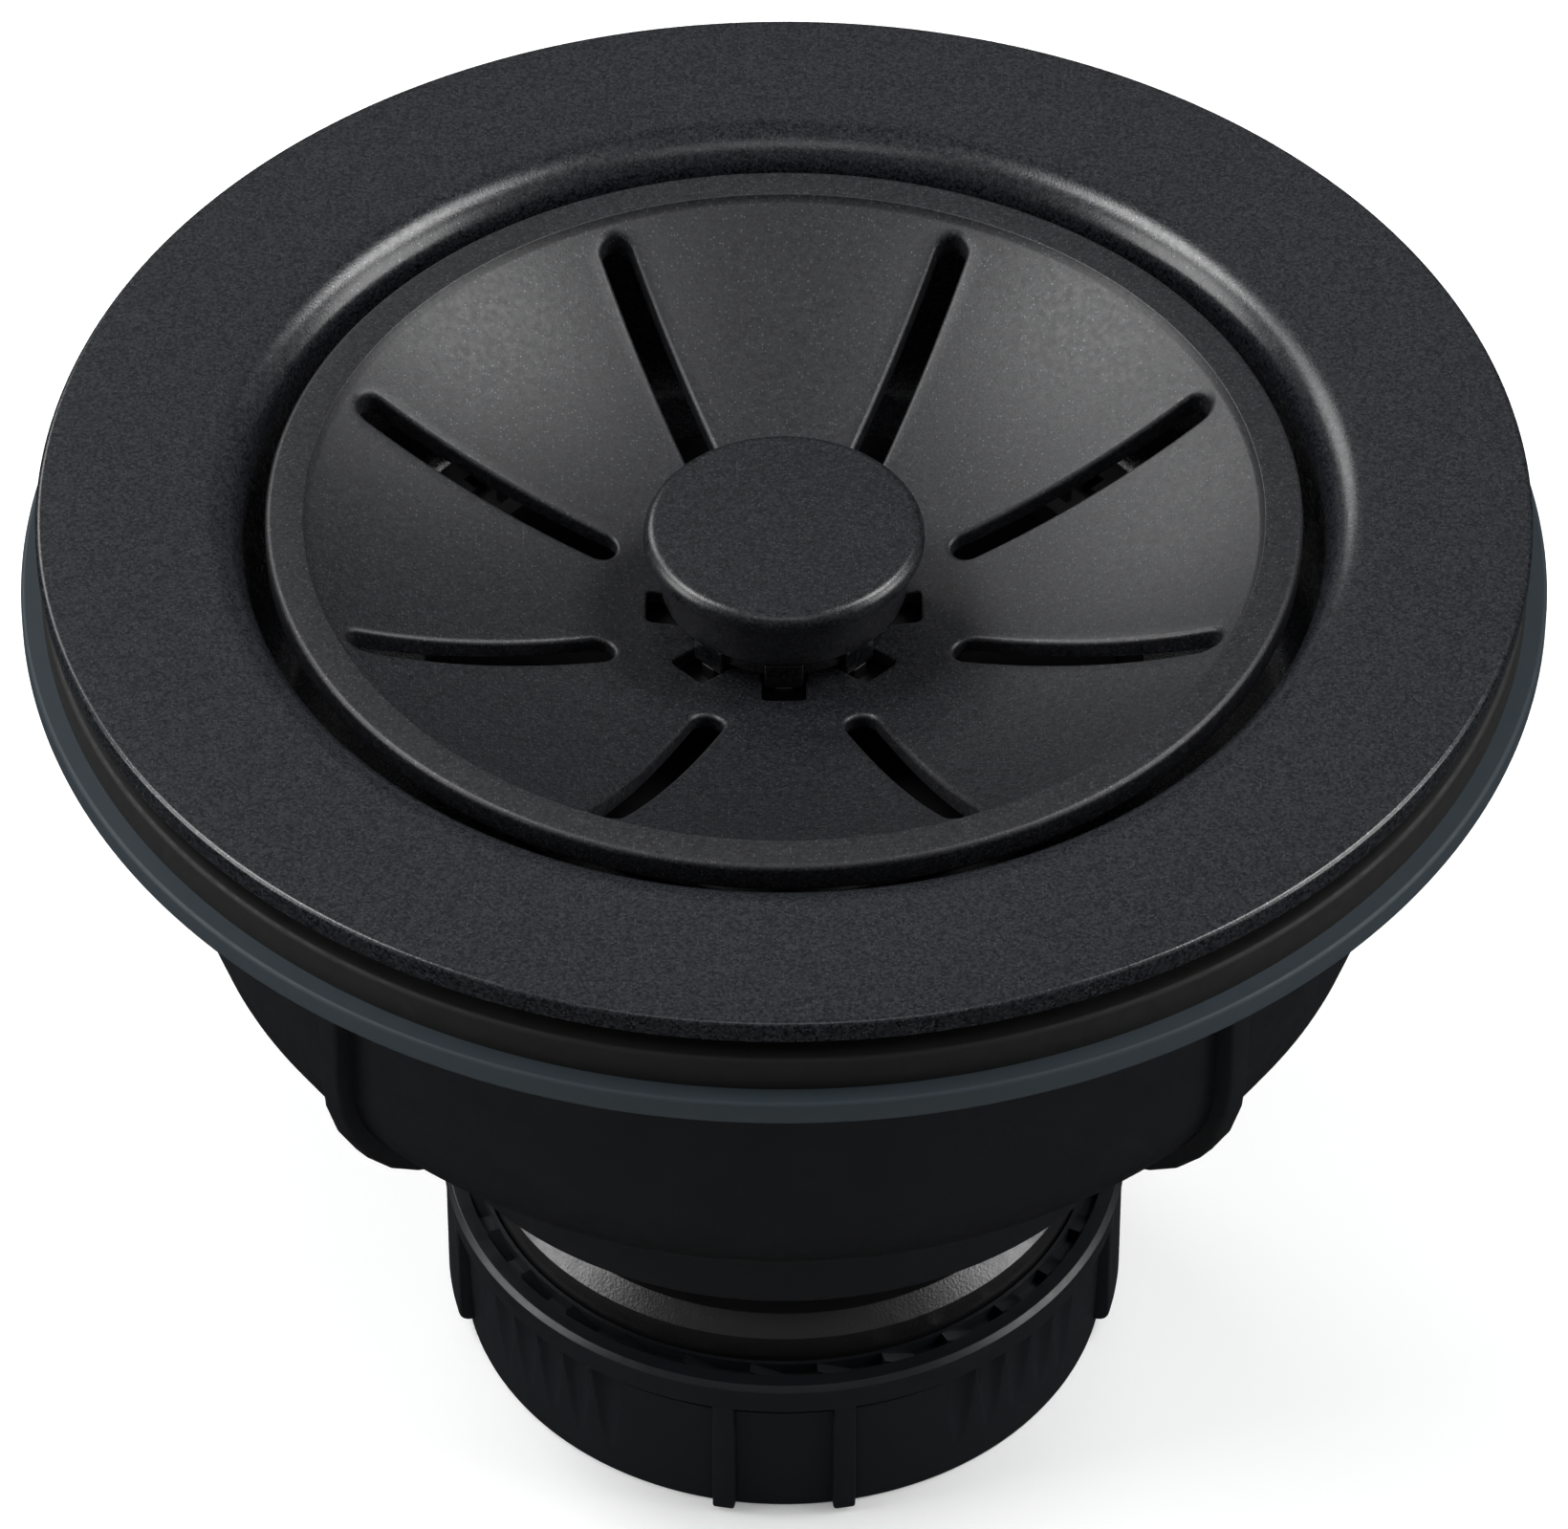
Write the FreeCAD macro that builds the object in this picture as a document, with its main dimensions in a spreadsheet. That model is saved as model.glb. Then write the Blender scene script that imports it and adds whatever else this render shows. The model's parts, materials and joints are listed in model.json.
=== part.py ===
"""Kitchen sink basket-strainer drain for a 3 1/2 inch sink hole, as a FreeCAD parametric document.

The axis of the drain is Z. The origin is the centre of the union nut's lower face, on which the
drain stands, and heights are worked out from depths below the top face of the sink flange.
"""
import FreeCAD, Part
import math
import os

import Sketcher

DIMENSIONS = {
    # Overall
    "overall": 86.1,
    # Roundings and allowances shared by many pieces
    "fine_edge": 0.3,
    "edge": 0.4,
    "soft_edge": 0.5,
    "joining": 1.0,
    # Sink flange: the coated metal flange with its well
    "flange_radius": 57.15,
    "flange_skin": 1.2,
    "flange_edge": 1.9,
    "well_radius": 41.4,
    "well_roll": 3.6,
    "well_depth": 24.0,
    "well_corner": 3.0,
    "throat_radius": 24.0,
    "screw_circle": 33.5,
    "screw_count": 4,
    "screw_hole": 2.7,
    # Seals clamped against the sink
    "seal_outer": 53.0,
    "seal_inner": 45.6,
    "gasket_radius": 57.0,
    "gasket_inner": 45.2,
    "gasket_top": 3.9,
    "gasket_base": 6.8,
    # Bowl with its flange, collar and neck
    "bowl_flange_radius": 58.6,
    "bowl_flange_base": 8.9,
    "bowl_radius": 47.3,
    "bowl_base": 43.2,
    "bowl_corner": 13.3,
    "bowl_wall": 2.5,
    "collar_radius": 31.2,
    "collar_base": 57.0,
    "collar_corner": 2.0,
    "neck_radius": 20.0,
    "neck_bore": 17.5,
    "neck_base": 77.3,
    "ring_groove_radius": 19.2,
    "ring_groove_top": 75.5,
    "ring_groove_base": 76.5,
    "fin_radius": 48.9,
    "fin_base": 47.0,
    "fin_corner": 18.2,
    "fin_width": 2.0,
    "fin_count": 4,
    "tower_radius": 4.5,
    "tower_top": 26.4,
    "tower_root": 42.0,
    # Clamp screws, their seals and their inserts
    "shank_radius": 2.45,
    "shank_base": 35.0,
    "head_radius": 4.2,
    "head_top": 20.8,
    "head_base": 23.2,
    "drive_width": 1.1,
    "drive_depth": 1.2,
    "insert_radius": 2.9,
    "insert_bore": 2.5,
    "insert_base": 36.4,
    "insert_hole_base": 38.0,
    # Guide across the throat
    "guide_ring_bore": 22.0,
    "guide_lip_radius": 25.5,
    "guide_lip_base": 26.4,
    "guide_base": 29.0,
    "hub_radius": 6.0,
    "hub_top": 25.6,
    "hub_base": 36.0,
    "arm_width": 2.4,
    "arm_count": 4,
    "sleeve_radius": 4.0,
    "sleeve_bore": 3.16,
    # Plug: the stem and the stopper that slide in the guide
    "stem_radius": 3.1,
    "stem_top": 5.2,
    "stem_head_radius": 4.7,
    "stem_head_base": 6.2,
    "stem_base": 38.0,
    "tip_taper_top": 42.0,
    "tip_base": 44.0,
    "tip_nose_radius": 2.2,
    "tip_slit": 1.0,
    "tip_slit_top": 39.0,
    "tip_slit_count": 4,
    "spacer_radius": 4.6,
    "spacer_top": 14.2,
    "stopper_top": 17.4,
    "stopper_base": 18.9,
    "stopper_radius": 26.0,
    "stopper_seal_radius": 28.0,
    "stopper_seal_bore": 24.4,
    "stopper_seal_top": 18.0,
    "stopper_seal_base": 19.9,
    "clip_radius": 5.4,
    "clip_base": 19.7,
    # Strainer plate and its knob
    "plate_radius": 39.7,
    "plate_top": 1.2,
    "plate_edge": 2.4,
    "rim_inner": 36.8,
    "dish_radius": 36.5,
    "dish_top": 1.78,
    "dish_depth": 12.39,
    "plate_skin": 1.2,
    "slot_inner": 15.45,
    "slot_outer": 34.5,
    "slot_width": 2.9,
    "slot_count": 8,
    "window_inner": 6.9,
    "window_outer": 10.6,
    "window_width": 3.4,
    "knob_radius": 10.8,
    "knob_top": 3.2,
    "knob_crease": 4.85,
    "knob_edge": 1.0,
    "collar_top_radius": 10.0,
    "collar_low_radius": 9.46,
    "collar_low": 9.3,
    "knob_cavity": 5.2,
    "crown_radius": 7.9,
    "crown_low": 11.7,
    "leg_inner": 7.1,
    "leg_outer": 8.3,
    "leg_width": 3.0,
    "leg_low": 12.6,
    "bush_top": 6.5,
    "bush_low": 13.9,
    "finger_inner": 7.1,
    "finger_outer": 8.3,
    "finger_width": 1.4,
    "finger_top": 12.6,
    "latch_top": 13.9,
    "latch_low": 15.4,
    "latch_inner": 7.0,
    "latch_outer": 12.4,
    # Thrust ring, retaining ring and washer at the end of the neck
    "thrust_radius": 24.55,
    "thrust_hub_radius": 23.1,
    "thrust_hub_top": 66.85,
    "thrust_edge": 68.3,
    "thrust_base": 72.5,
    "retainer_radius": 22.2,
    "washer_radius": 22.0,
    "washer_base": 79.1,
    # Union nut and its ratchet ring
    "nut_rim_radius": 27.85,
    "nut_rim_low_radius": 27.5,
    "nut_top": 70.66,
    "nut_rim_base": 73.7,
    "nut_groove_radius": 25.9,
    "nut_groove_base": 74.6,
    "nut_wall_radius": 26.75,
    "nut_foot_radius": 26.3,
    "nut_cavity": 26.25,
    "nut_lip_top": 72.9,
    "nut_lip_base": 75.2,
    "nut_lip_radius": 20.4,
    "relief_radius": 23.9,
    "relief_base": 79.4,
    "thread_minor": 22.45,
    "thread_major": 23.9,
    "thread_pitch": 2.309,
    "thread_turns": 2,
    "thread_land": 0.45,
    "lead_in": 0.8,
    "lead_in_radius": 23.7,
    "grip_top": 73.2,
    "grip_rib_radius": 27.4,
    "grip_rib_width": 1.8,
    "grip_rib_offset": 4.9,
    "grip_rib_base": 85.7,
    "wing_radius": 27.6,
    "wing_angle": 32.0,
    "wing_base": 84.5,
    "wing_corner": 1.0,
    "flute_circle": 27.6,
    "flute_low_radius": 1.15,
    "flute_top_radius": 1.75,
    "flute_groups": 4,
    "flute_count": 5,
    "flute_step": 6.4,
    "flute_base": 83.6,
    "ratchet_inner": 24.82,
    "ratchet_channel": 25.15,
    "ratchet_outer": 26.2,
    "ratchet_top": 70.55,
    "ratchet_floor": 71.65,
    "tooth_count": 30,
    "tooth_sink": 0.1,
}


class Size:
    """A length that keeps both its value and the expression that binds it to the sheet."""

    def __init__(self, text, value):
        self.text = text
        self.value = value

    @staticmethod
    def of(thing):
        return thing if isinstance(thing, Size) else Size(repr(float(thing)), float(thing))

    def __add__(self, other):
        other = Size.of(other)
        return Size(f"({self.text} + {other.text})", self.value + other.value)

    def __sub__(self, other):
        other = Size.of(other)
        return Size(f"({self.text} - {other.text})", self.value - other.value)

    def __rsub__(self, other):
        return Size.of(other) - self

    def __mul__(self, other):
        other = Size.of(other)
        return Size(f"({self.text} * {other.text})", self.value * other.value)

    def __truediv__(self, other):
        other = Size.of(other)
        return Size(f"({self.text} / {other.text})", self.value / other.value)


class Sheet:
    """The spreadsheet of driving dimensions: sheet.name is the Size of the cell called name."""

    def __init__(self, doc, dimensions):
        self.cells = doc.addObject("Spreadsheet::Sheet", "Dimensions")
        for row, (name, value) in enumerate(dimensions.items(), start=1):
            self.cells.set(f"A{row}", name)
            self.cells.set(f"B{row}", str(value))
            self.cells.setAlias(f"B{row}", name)
        doc.recompute()

    def __getattr__(self, name):
        return Size(f"Dimensions.{name}", float(DIMENSIONS[name]))

    def at(self, depth):
        """Height in the model of a depth below the top face of the sink flange."""
        return self.overall - depth


doc = FreeCAD.newDocument("SinkDrain")
sheet = Sheet(doc, DIMENSIONS)
at = sheet.at

# --- Sketches and features -------------------------------------------------------------------

RADIAL_PLANE = "XZ_Plane"
SIDE_PLANE = "YZ_Plane"
FLAT_PLANE = "XY_Plane"
START, END, CENTRE = 1, 2, 3
ORIGIN_POINT = (-1, 1)
ACROSS_AXIS, UP_AXIS = -1, -2


def bind(thing, path, size):
    """Set one property of thing from the sheet."""
    thing.setExpression(path, Size.of(size).text)


def new_body(label):
    body = doc.addObject("PartDesign::Body", label)
    body.Label = label
    return body


def new_sketch(body, plane, turn=0.0, lift=None):
    """A sketch on one of the body's own origin planes, turned about the axis of the drain and
    lifted along its normal."""
    sketch = body.newObject("Sketcher::SketchObject", "Sketch")
    flat = [item for item in body.Origin.OriginFeatures if item.Role == plane][0]
    sketch.AttachmentSupport = [(flat, "")]
    sketch.MapMode = "FlatFace"
    upright = FreeCAD.Vector(0, 0, 1) if plane == FLAT_PLANE else FreeCAD.Vector(0, 1, 0)
    sketch.AttachmentOffset = FreeCAD.Placement(
        FreeCAD.Vector(0, 0, 0), FreeCAD.Rotation(upright, turn)
    )
    if lift is not None:
        bind(sketch, "AttachmentOffset.Base.z", lift)
    return sketch


def fix_point(sketch, geometry, end, across, up):
    """Tie one point of the sketch to its two distances from the origin."""
    for kind, size, axis in (("DistanceX", across, UP_AXIS), ("DistanceY", up, ACROSS_AXIS)):
        if size.value == 0:
            sketch.addConstraint(Sketcher.Constraint("PointOnObject", geometry, end, axis))
        else:
            index = sketch.addConstraint(
                Sketcher.Constraint(kind, *ORIGIN_POINT, geometry, end, size.value)
            )
            bind(sketch, f"Constraints[{index}]", size)


def fix_radius(sketch, geometry, size):
    index = sketch.addConstraint(Sketcher.Constraint("Radius", geometry, size.value))
    bind(sketch, f"Constraints[{index}]", size)


def vector(across, up):
    return FreeCAD.Vector(across, up, 0)


class Corner:
    """One corner of an outline. It can be rounded, and the edge that leads to it can be an arc
    centred on the turning axis."""

    def __init__(self, across, up, rounding=None, domed=False):
        self.across = Size.of(across)
        self.up = Size.of(up)
        self.rounding = Size.of(rounding) if rounding is not None else None
        self.domed = domed

    def point(self):
        return vector(self.across.value, self.up.value)


def rounding_points(before, corner, after):
    """Where a rounding starts and ends, and its centre, for the corner between two others."""
    spot = corner.point()
    back = (before.point() - spot).normalize()
    forth = (after.point() - spot).normalize()
    half_angle = back.getAngle(forth) / 2
    reach = corner.rounding.value / math.tan(half_angle)
    middle = (back + forth).normalize() * (corner.rounding.value / math.sin(half_angle))
    return spot + back * reach, spot + forth * reach, spot + middle


def arc_between(centre, start, end, anticlockwise):
    """An arc of a circle, listed from start to end."""
    first, last = (start, end) if anticlockwise else (end, start)
    circle = Part.Circle(centre, FreeCAD.Vector(0, 0, 1), (start - centre).Length)
    first_angle = math.atan2(first.y - centre.y, first.x - centre.x)
    last_angle = math.atan2(last.y - centre.y, last.x - centre.x)
    if last_angle <= first_angle:
        last_angle += 2 * math.pi
    return Part.ArcOfCircle(circle, first_angle, last_angle)


def draw_outline(sketch, corners):
    """Draw a closed outline, with every corner tied to the sheet."""
    count = len(corners)
    entries, exits, arcs = {}, {}, {}
    for index, corner in enumerate(corners):
        if corner.rounding is None:
            entries[index] = exits[index] = corner.point()
            continue
        before, after = corners[index - 1], corners[(index + 1) % count]
        entries[index], exits[index], centre = rounding_points(before, corner, after)
        turn = (corner.point() - before.point()).cross(after.point() - corner.point()).z
        arc = arc_between(centre, entries[index], exits[index], turn > 0)
        arcs[index] = (sketch.addGeometry(arc, False), turn > 0)

    edges = {}
    for index in range(count):
        following = (index + 1) % count
        start, end = exits[index], entries[following]
        if corners[following].domed:
            rise = start.y**2 - end.y**2 + start.x**2 - end.x**2
            centre = vector(0, rise / (2 * (start.y - end.y)))
            anticlockwise = (start - centre).cross(end - centre).z > 0
            edge = sketch.addGeometry(arc_between(centre, start, end, anticlockwise), False)
            sketch.addConstraint(Sketcher.Constraint("PointOnObject", edge, CENTRE, UP_AXIS))
            edges[index] = (edge, START if anticlockwise else END, END if anticlockwise else START)
        else:
            edge = sketch.addGeometry(Part.LineSegment(start, end), False)
            edges[index] = (edge, START, END)

    for index, corner in enumerate(corners):
        arriving, _, arriving_end = edges[(index - 1) % count]
        leaving, leaving_start, _ = edges[index]
        if corner.rounding is None:
            sketch.addConstraint(
                Sketcher.Constraint("Coincident", arriving, arriving_end, leaving, leaving_start)
            )
            fix_point(sketch, leaving, leaving_start, corner.across, corner.up)
            continue
        arc, anticlockwise = arcs[index]
        arc_start, arc_end = (START, END) if anticlockwise else (END, START)
        mark = sketch.addGeometry(Part.Point(corner.point()), True)
        sketch.addConstraint([
            Sketcher.Constraint("Tangent", arriving, arriving_end, arc, arc_start),
            Sketcher.Constraint("Tangent", arc, arc_end, leaving, leaving_start),
            Sketcher.Constraint("PointOnObject", mark, START, arriving),
            Sketcher.Constraint("PointOnObject", mark, START, leaving),
        ])
        fix_point(sketch, mark, START, corner.across, corner.up)
        fix_radius(sketch, arc, corner.rounding)


def draw_slot(sketch, inner, outer, width):
    """Draw a straight slot along the sketch's own X axis, between two cap centres."""
    half = width.value / 2
    inner_cap = arc_between(vector(inner.value, 0), vector(inner.value, half),
                            vector(inner.value, -half), True)
    outer_cap = arc_between(vector(outer.value, 0), vector(outer.value, -half),
                            vector(outer.value, half), True)
    upper = Part.LineSegment(vector(outer.value, half), vector(inner.value, half))
    lower = Part.LineSegment(vector(inner.value, -half), vector(outer.value, -half))
    left, bottom, right, top = sketch.addGeometry([inner_cap, lower, outer_cap, upper], False)
    sketch.addConstraint([
        Sketcher.Constraint("Tangent", left, END, bottom, START),
        Sketcher.Constraint("Tangent", bottom, END, right, START),
        Sketcher.Constraint("Tangent", right, END, top, START),
        Sketcher.Constraint("Tangent", top, END, left, START),
        Sketcher.Constraint("Equal", left, right),
    ])
    fix_point(sketch, left, CENTRE, inner, Size.of(0))
    fix_point(sketch, right, CENTRE, outer, Size.of(0))
    fix_radius(sketch, left, width / 2)


def draw_circle(sketch, across, radius):
    circle = sketch.addGeometry(
        Part.Circle(vector(across.value, 0), FreeCAD.Vector(0, 0, 1), radius.value), False
    )
    fix_point(sketch, circle, CENTRE, across, Size.of(0))
    fix_radius(sketch, circle, radius)


def draw_bar(sketch, inner, outer, width):
    """Draw a rectangle along the sketch's own X axis, symmetrical about it."""
    half = width.value / 2
    points = [
        vector(inner.value, -half), vector(outer.value, -half),
        vector(outer.value, half), vector(inner.value, half),
    ]
    sides = [
        sketch.addGeometry(Part.LineSegment(points[side], points[(side + 1) % 4]), False)
        for side in range(4)
    ]
    for side in range(4):
        sketch.addConstraint(
            Sketcher.Constraint("Coincident", sides[side], END, sides[(side + 1) % 4], START)
        )
    sketch.addConstraint([
        Sketcher.Constraint("Horizontal", sides[0]),
        Sketcher.Constraint("Horizontal", sides[2]),
        Sketcher.Constraint("Vertical", sides[3]),
        Sketcher.Constraint("Symmetric", sides[1], START, sides[1], END, ACROSS_AXIS),
    ])
    for kind, distance in (("inner", inner), ("outer", outer)):
        line = sides[3] if kind == "inner" else sides[1]
        index = sketch.addConstraint(
            Sketcher.Constraint("DistanceX", *ORIGIN_POINT, line, START, distance.value)
        )
        bind(sketch, f"Constraints[{index}]", distance)
    index = sketch.addConstraint(
        Sketcher.Constraint("DistanceY", sides[1], START, sides[1], END, width.value)
    )
    bind(sketch, f"Constraints[{index}]", width)


def turned(label, corners):
    """A body made by turning an outline of (radius, height) corners once round the Z axis."""
    body = new_body(label)
    sketch = new_sketch(body, RADIAL_PLANE)
    draw_outline(sketch, corners)
    turning = body.newObject("PartDesign::Revolution", "Revolution")
    turning.Profile = sketch
    turning.ReferenceAxis = (sketch, ["V_Axis"])
    turning.Angle = 360
    body.Tip = turning
    doc.recompute()
    return body


def ring(label, inner, outer, top, base):
    """A plain ring between two radii and two depths."""
    return turned(label, [
        Corner(inner, at(base)), Corner(outer, at(base)),
        Corner(outer, at(top)), Corner(inner, at(top)),
    ])


def add_band(body, corners, angle, count, turn=0.0):
    """Add an outline of (radius, height) corners turned through a few degrees, evenly round the
    axis. The first one is centred on the given turn."""
    before = body.Shape.Volume
    sketch = new_sketch(body, RADIAL_PLANE, turn)
    draw_outline(sketch, corners)
    band = body.newObject("PartDesign::Revolution", "Band")
    band.Profile = sketch
    band.ReferenceAxis = (sketch, ["V_Axis"])
    band.Midplane = True
    bind(band, "Angle", angle)
    body.Tip = band
    doc.recompute()
    if not body.Shape.Volume > before:
        raise RuntimeError(f"{body.Label}: a band adds nothing")
    repeat_round(body, [band], count)


def repeat_round(body, features, count):
    """Repeat features evenly round the Z axis of their body."""
    pattern = body.newObject("PartDesign::PolarPattern", "PolarPattern")
    pattern.Originals = features
    upright = [item for item in body.Origin.OriginFeatures if item.Role == "Z_Axis"][0]
    pattern.Axis = (upright, [""])
    pattern.Angle = 360
    bind(pattern, "Occurrences", count)
    body.Tip = pattern
    doc.recompute()
    return pattern


def cut_between(body, sketch, depth):
    """Cut the sketch upwards from its own plane."""
    before = body.Shape.Volume
    pocket = body.newObject("PartDesign::Pocket", "Pocket")
    pocket.Profile = sketch
    pocket.Reversed = True
    bind(pocket, "Length", depth)
    body.Tip = pocket
    doc.recompute()
    if not body.Shape.Volume < before:
        raise RuntimeError(f"{body.Label}: a pocket cuts nothing")
    return pocket


def pad(body, sketch, depth, midplane=False):
    """Raise the sketch from its own plane, or to both sides of it."""
    before = body.Shape.Volume if body.Tip else 0.0
    feature = body.newObject("PartDesign::Pad", "Pad")
    feature.Profile = sketch
    feature.Midplane = midplane
    bind(feature, "Length", depth)
    body.Tip = feature
    doc.recompute()
    if not body.Shape.Volume > before:
        raise RuntimeError(f"{body.Label}: a pad adds nothing")
    return feature


def add_bars(body, inner, outer, width, top, base, count, turn=0.0):
    """Add bars that lie along radii, between two depths, evenly round the axis."""
    sketch = new_sketch(body, FLAT_PLANE, turn, at(base))
    draw_bar(sketch, inner, outer, width)
    repeat_round(body, [pad(body, sketch, base - top)], count)


def cut_bars(body, inner, outer, width, top, base, count, turn=0.0):
    """Cut slots with square ends that lie along radii, evenly round the axis."""
    sketch = new_sketch(body, FLAT_PLANE, turn, at(base))
    draw_bar(sketch, inner, outer, width)
    repeat_round(body, [cut_between(body, sketch, base - top)], count)


def cut_holes(body, across, radius, top, base, count, turn=0.0):
    """Drill round holes between two depths, evenly round the axis."""
    sketch = new_sketch(body, FLAT_PLANE, turn, at(base))
    draw_circle(sketch, across, radius)
    repeat_round(body, [cut_between(body, sketch, base - top)], count)


CROSS_TURN = 45.0
HALF_SLOT_TURN = 22.5
ALL_ROUND = 360.0


# --- Sink flange and the seals it clamps ------------------------------------------------------

def make_sink_flange():
    skin = sheet.flange_skin
    outer_wall = sheet.well_radius + skin
    floor = sheet.well_depth + skin
    body = turned("sink_flange", [
        Corner(sheet.throat_radius, at(sheet.well_depth)),
        Corner(sheet.throat_radius, at(floor)),
        Corner(outer_wall, at(floor), sheet.well_corner + skin),
        Corner(outer_wall, at(skin), sheet.well_roll - skin),
        Corner(sheet.flange_radius - skin, at(skin)),
        Corner(sheet.flange_radius - skin, at(sheet.flange_edge)),
        Corner(sheet.flange_radius, at(sheet.flange_edge)),
        Corner(sheet.flange_radius, sheet.overall, sheet.soft_edge),
        Corner(sheet.well_radius, sheet.overall, sheet.well_roll),
        Corner(sheet.well_radius, at(sheet.well_depth), sheet.well_corner),
    ][::-1])
    cut_holes(body, sheet.screw_circle, sheet.screw_hole,
              sheet.well_depth - sheet.joining, floor + sheet.joining, sheet.screw_count, CROSS_TURN)
    return body


def make_flange_seal():
    return ring("flange_seal", sheet.seal_inner, sheet.seal_outer, sheet.flange_skin, sheet.gasket_top)


def make_clamping_gasket():
    return turned("clamping_gasket", [
        Corner(sheet.gasket_inner, at(sheet.gasket_base)),
        Corner(sheet.gasket_radius, at(sheet.gasket_base)),
        Corner(sheet.gasket_radius, at(sheet.gasket_top), sheet.edge),
        Corner(sheet.gasket_inner, at(sheet.gasket_top)),
    ])


# --- Bowl -------------------------------------------------------------------------------------

def make_drain_bowl():
    wall = sheet.bowl_wall
    inner_floor = sheet.bowl_base - wall
    collar_floor = sheet.collar_base - wall
    body = turned("drain_bowl", [
        Corner(sheet.bowl_radius - wall, at(sheet.gasket_base)),
        Corner(sheet.bowl_radius - wall, at(inner_floor), sheet.bowl_corner - wall),
        Corner(sheet.collar_radius - wall, at(inner_floor)),
        Corner(sheet.collar_radius - wall, at(collar_floor), sheet.collar_corner),
        Corner(sheet.neck_bore, at(collar_floor)),
        Corner(sheet.neck_bore, at(sheet.neck_base)),
        Corner(sheet.neck_radius, at(sheet.neck_base)),
        Corner(sheet.neck_radius, at(sheet.ring_groove_base)),
        Corner(sheet.ring_groove_radius, at(sheet.ring_groove_base)),
        Corner(sheet.ring_groove_radius, at(sheet.ring_groove_top)),
        Corner(sheet.neck_radius, at(sheet.ring_groove_top)),
        Corner(sheet.neck_radius, at(sheet.collar_base)),
        Corner(sheet.collar_radius, at(sheet.collar_base), sheet.edge),
        Corner(sheet.collar_radius, at(sheet.bowl_base)),
        Corner(sheet.bowl_radius, at(sheet.bowl_base), sheet.bowl_corner),
        Corner(sheet.bowl_radius, at(sheet.bowl_flange_base)),
        Corner(sheet.bowl_flange_radius, at(sheet.bowl_flange_base), sheet.edge),
        Corner(sheet.bowl_flange_radius, at(sheet.gasket_base), sheet.edge),
    ])
    root = sheet.bowl_flange_base - sheet.joining
    fin = new_sketch(body, RADIAL_PLANE, CROSS_TURN)
    draw_outline(fin, [
        Corner(sheet.bowl_radius - wall / 2, at(root)),
        Corner(sheet.bowl_radius - wall / 2, at(sheet.bowl_base - wall / 2), sheet.bowl_corner - wall / 2),
        Corner(sheet.collar_radius - sheet.joining, at(sheet.bowl_base - wall / 2)),
        Corner(sheet.collar_radius - sheet.joining, at(sheet.fin_base)),
        Corner(sheet.fin_radius, at(sheet.fin_base), sheet.fin_corner),
        Corner(sheet.fin_radius, at(root)),
    ])
    repeat_round(body, [pad(body, fin, sheet.fin_width, midplane=True)], sheet.fin_count)
    tower = new_sketch(body, FLAT_PLANE, CROSS_TURN, at(sheet.tower_root))
    draw_circle(tower, sheet.screw_circle, sheet.tower_radius)
    repeat_round(body, [pad(body, tower, sheet.tower_root - sheet.tower_top)], sheet.screw_count)
    cut_holes(body, sheet.screw_circle, sheet.insert_radius, sheet.tower_top - sheet.joining,
              sheet.insert_hole_base, sheet.screw_count, CROSS_TURN)
    return body


# --- Clamp screws -----------------------------------------------------------------------------

def round_copies(label, source, count, turn):
    """One sub-part that holds the same piece several times, evenly round the axis."""
    group = doc.addObject("Part::Feature", label)
    group.Label = label
    centre = FreeCAD.Vector(0, 0, 0)
    upwards = FreeCAD.Vector(0, 0, 1)
    copies = [
        source.Shape.rotated(centre, upwards, turn + ALL_ROUND * copy / count)
        for copy in range(count)
    ]
    group.Shape = Part.makeCompound(copies)
    group.Placement = FreeCAD.Placement()
    return group


def stepped_pin(name, steps):
    """A solid of stacked cylinders on the screw circle, listed as (radius, top, base) depths."""
    cylinders = []
    for radius, top, base in steps:
        cylinder = doc.addObject("Part::Cylinder", name)
        bind(cylinder, "Radius", radius)
        bind(cylinder, "Height", base - top)
        bind(cylinder, "Placement.Base.x", sheet.screw_circle)
        bind(cylinder, "Placement.Base.z", at(base))
        cylinders.append(cylinder)
    if len(cylinders) == 1:
        return cylinders[0]
    stack = doc.addObject("Part::MultiFuse", name)
    stack.Shapes = cylinders
    stack.Refine = True
    return stack


def cut_solid(name, base, tool):
    cut = doc.addObject("Part::Cut", name)
    cut.Base = base
    cut.Tool = tool
    return cut


def make_clamp_screws():
    screw = stepped_pin("Screw", [
        (sheet.head_radius, sheet.head_top, sheet.head_base),
        (sheet.shank_radius, sheet.head_base, sheet.shank_base),
    ])
    drives = []
    for length, width in ((sheet.head_radius, sheet.drive_width), (sheet.drive_width, sheet.head_radius)):
        slot = doc.addObject("Part::Box", "Drive")
        bind(slot, "Length", length)
        bind(slot, "Width", width)
        bind(slot, "Height", sheet.drive_depth)
        bind(slot, "Placement.Base.x", sheet.screw_circle - length / 2)
        bind(slot, "Placement.Base.y", Size.of(0) - width / 2)
        bind(slot, "Placement.Base.z", at(sheet.head_top + sheet.drive_depth))
        drives.append(slot)
    cross = doc.addObject("Part::MultiFuse", "Cross")
    cross.Shapes = drives
    screw = cut_solid("DrivenScrew", screw, cross)
    doc.recompute()
    return round_copies("clamp_screws", screw, int(sheet.screw_count.value), CROSS_TURN)


def make_screw_seals():
    seal = cut_solid(
        "ScrewSeal",
        stepped_pin("Seal", [(sheet.head_radius, sheet.head_base, sheet.well_depth)]),
        stepped_pin("SealHole", [(sheet.shank_radius, sheet.head_base, sheet.well_depth)]),
    )
    doc.recompute()
    return round_copies("screw_seals", seal, int(sheet.screw_count.value), CROSS_TURN)


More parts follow.
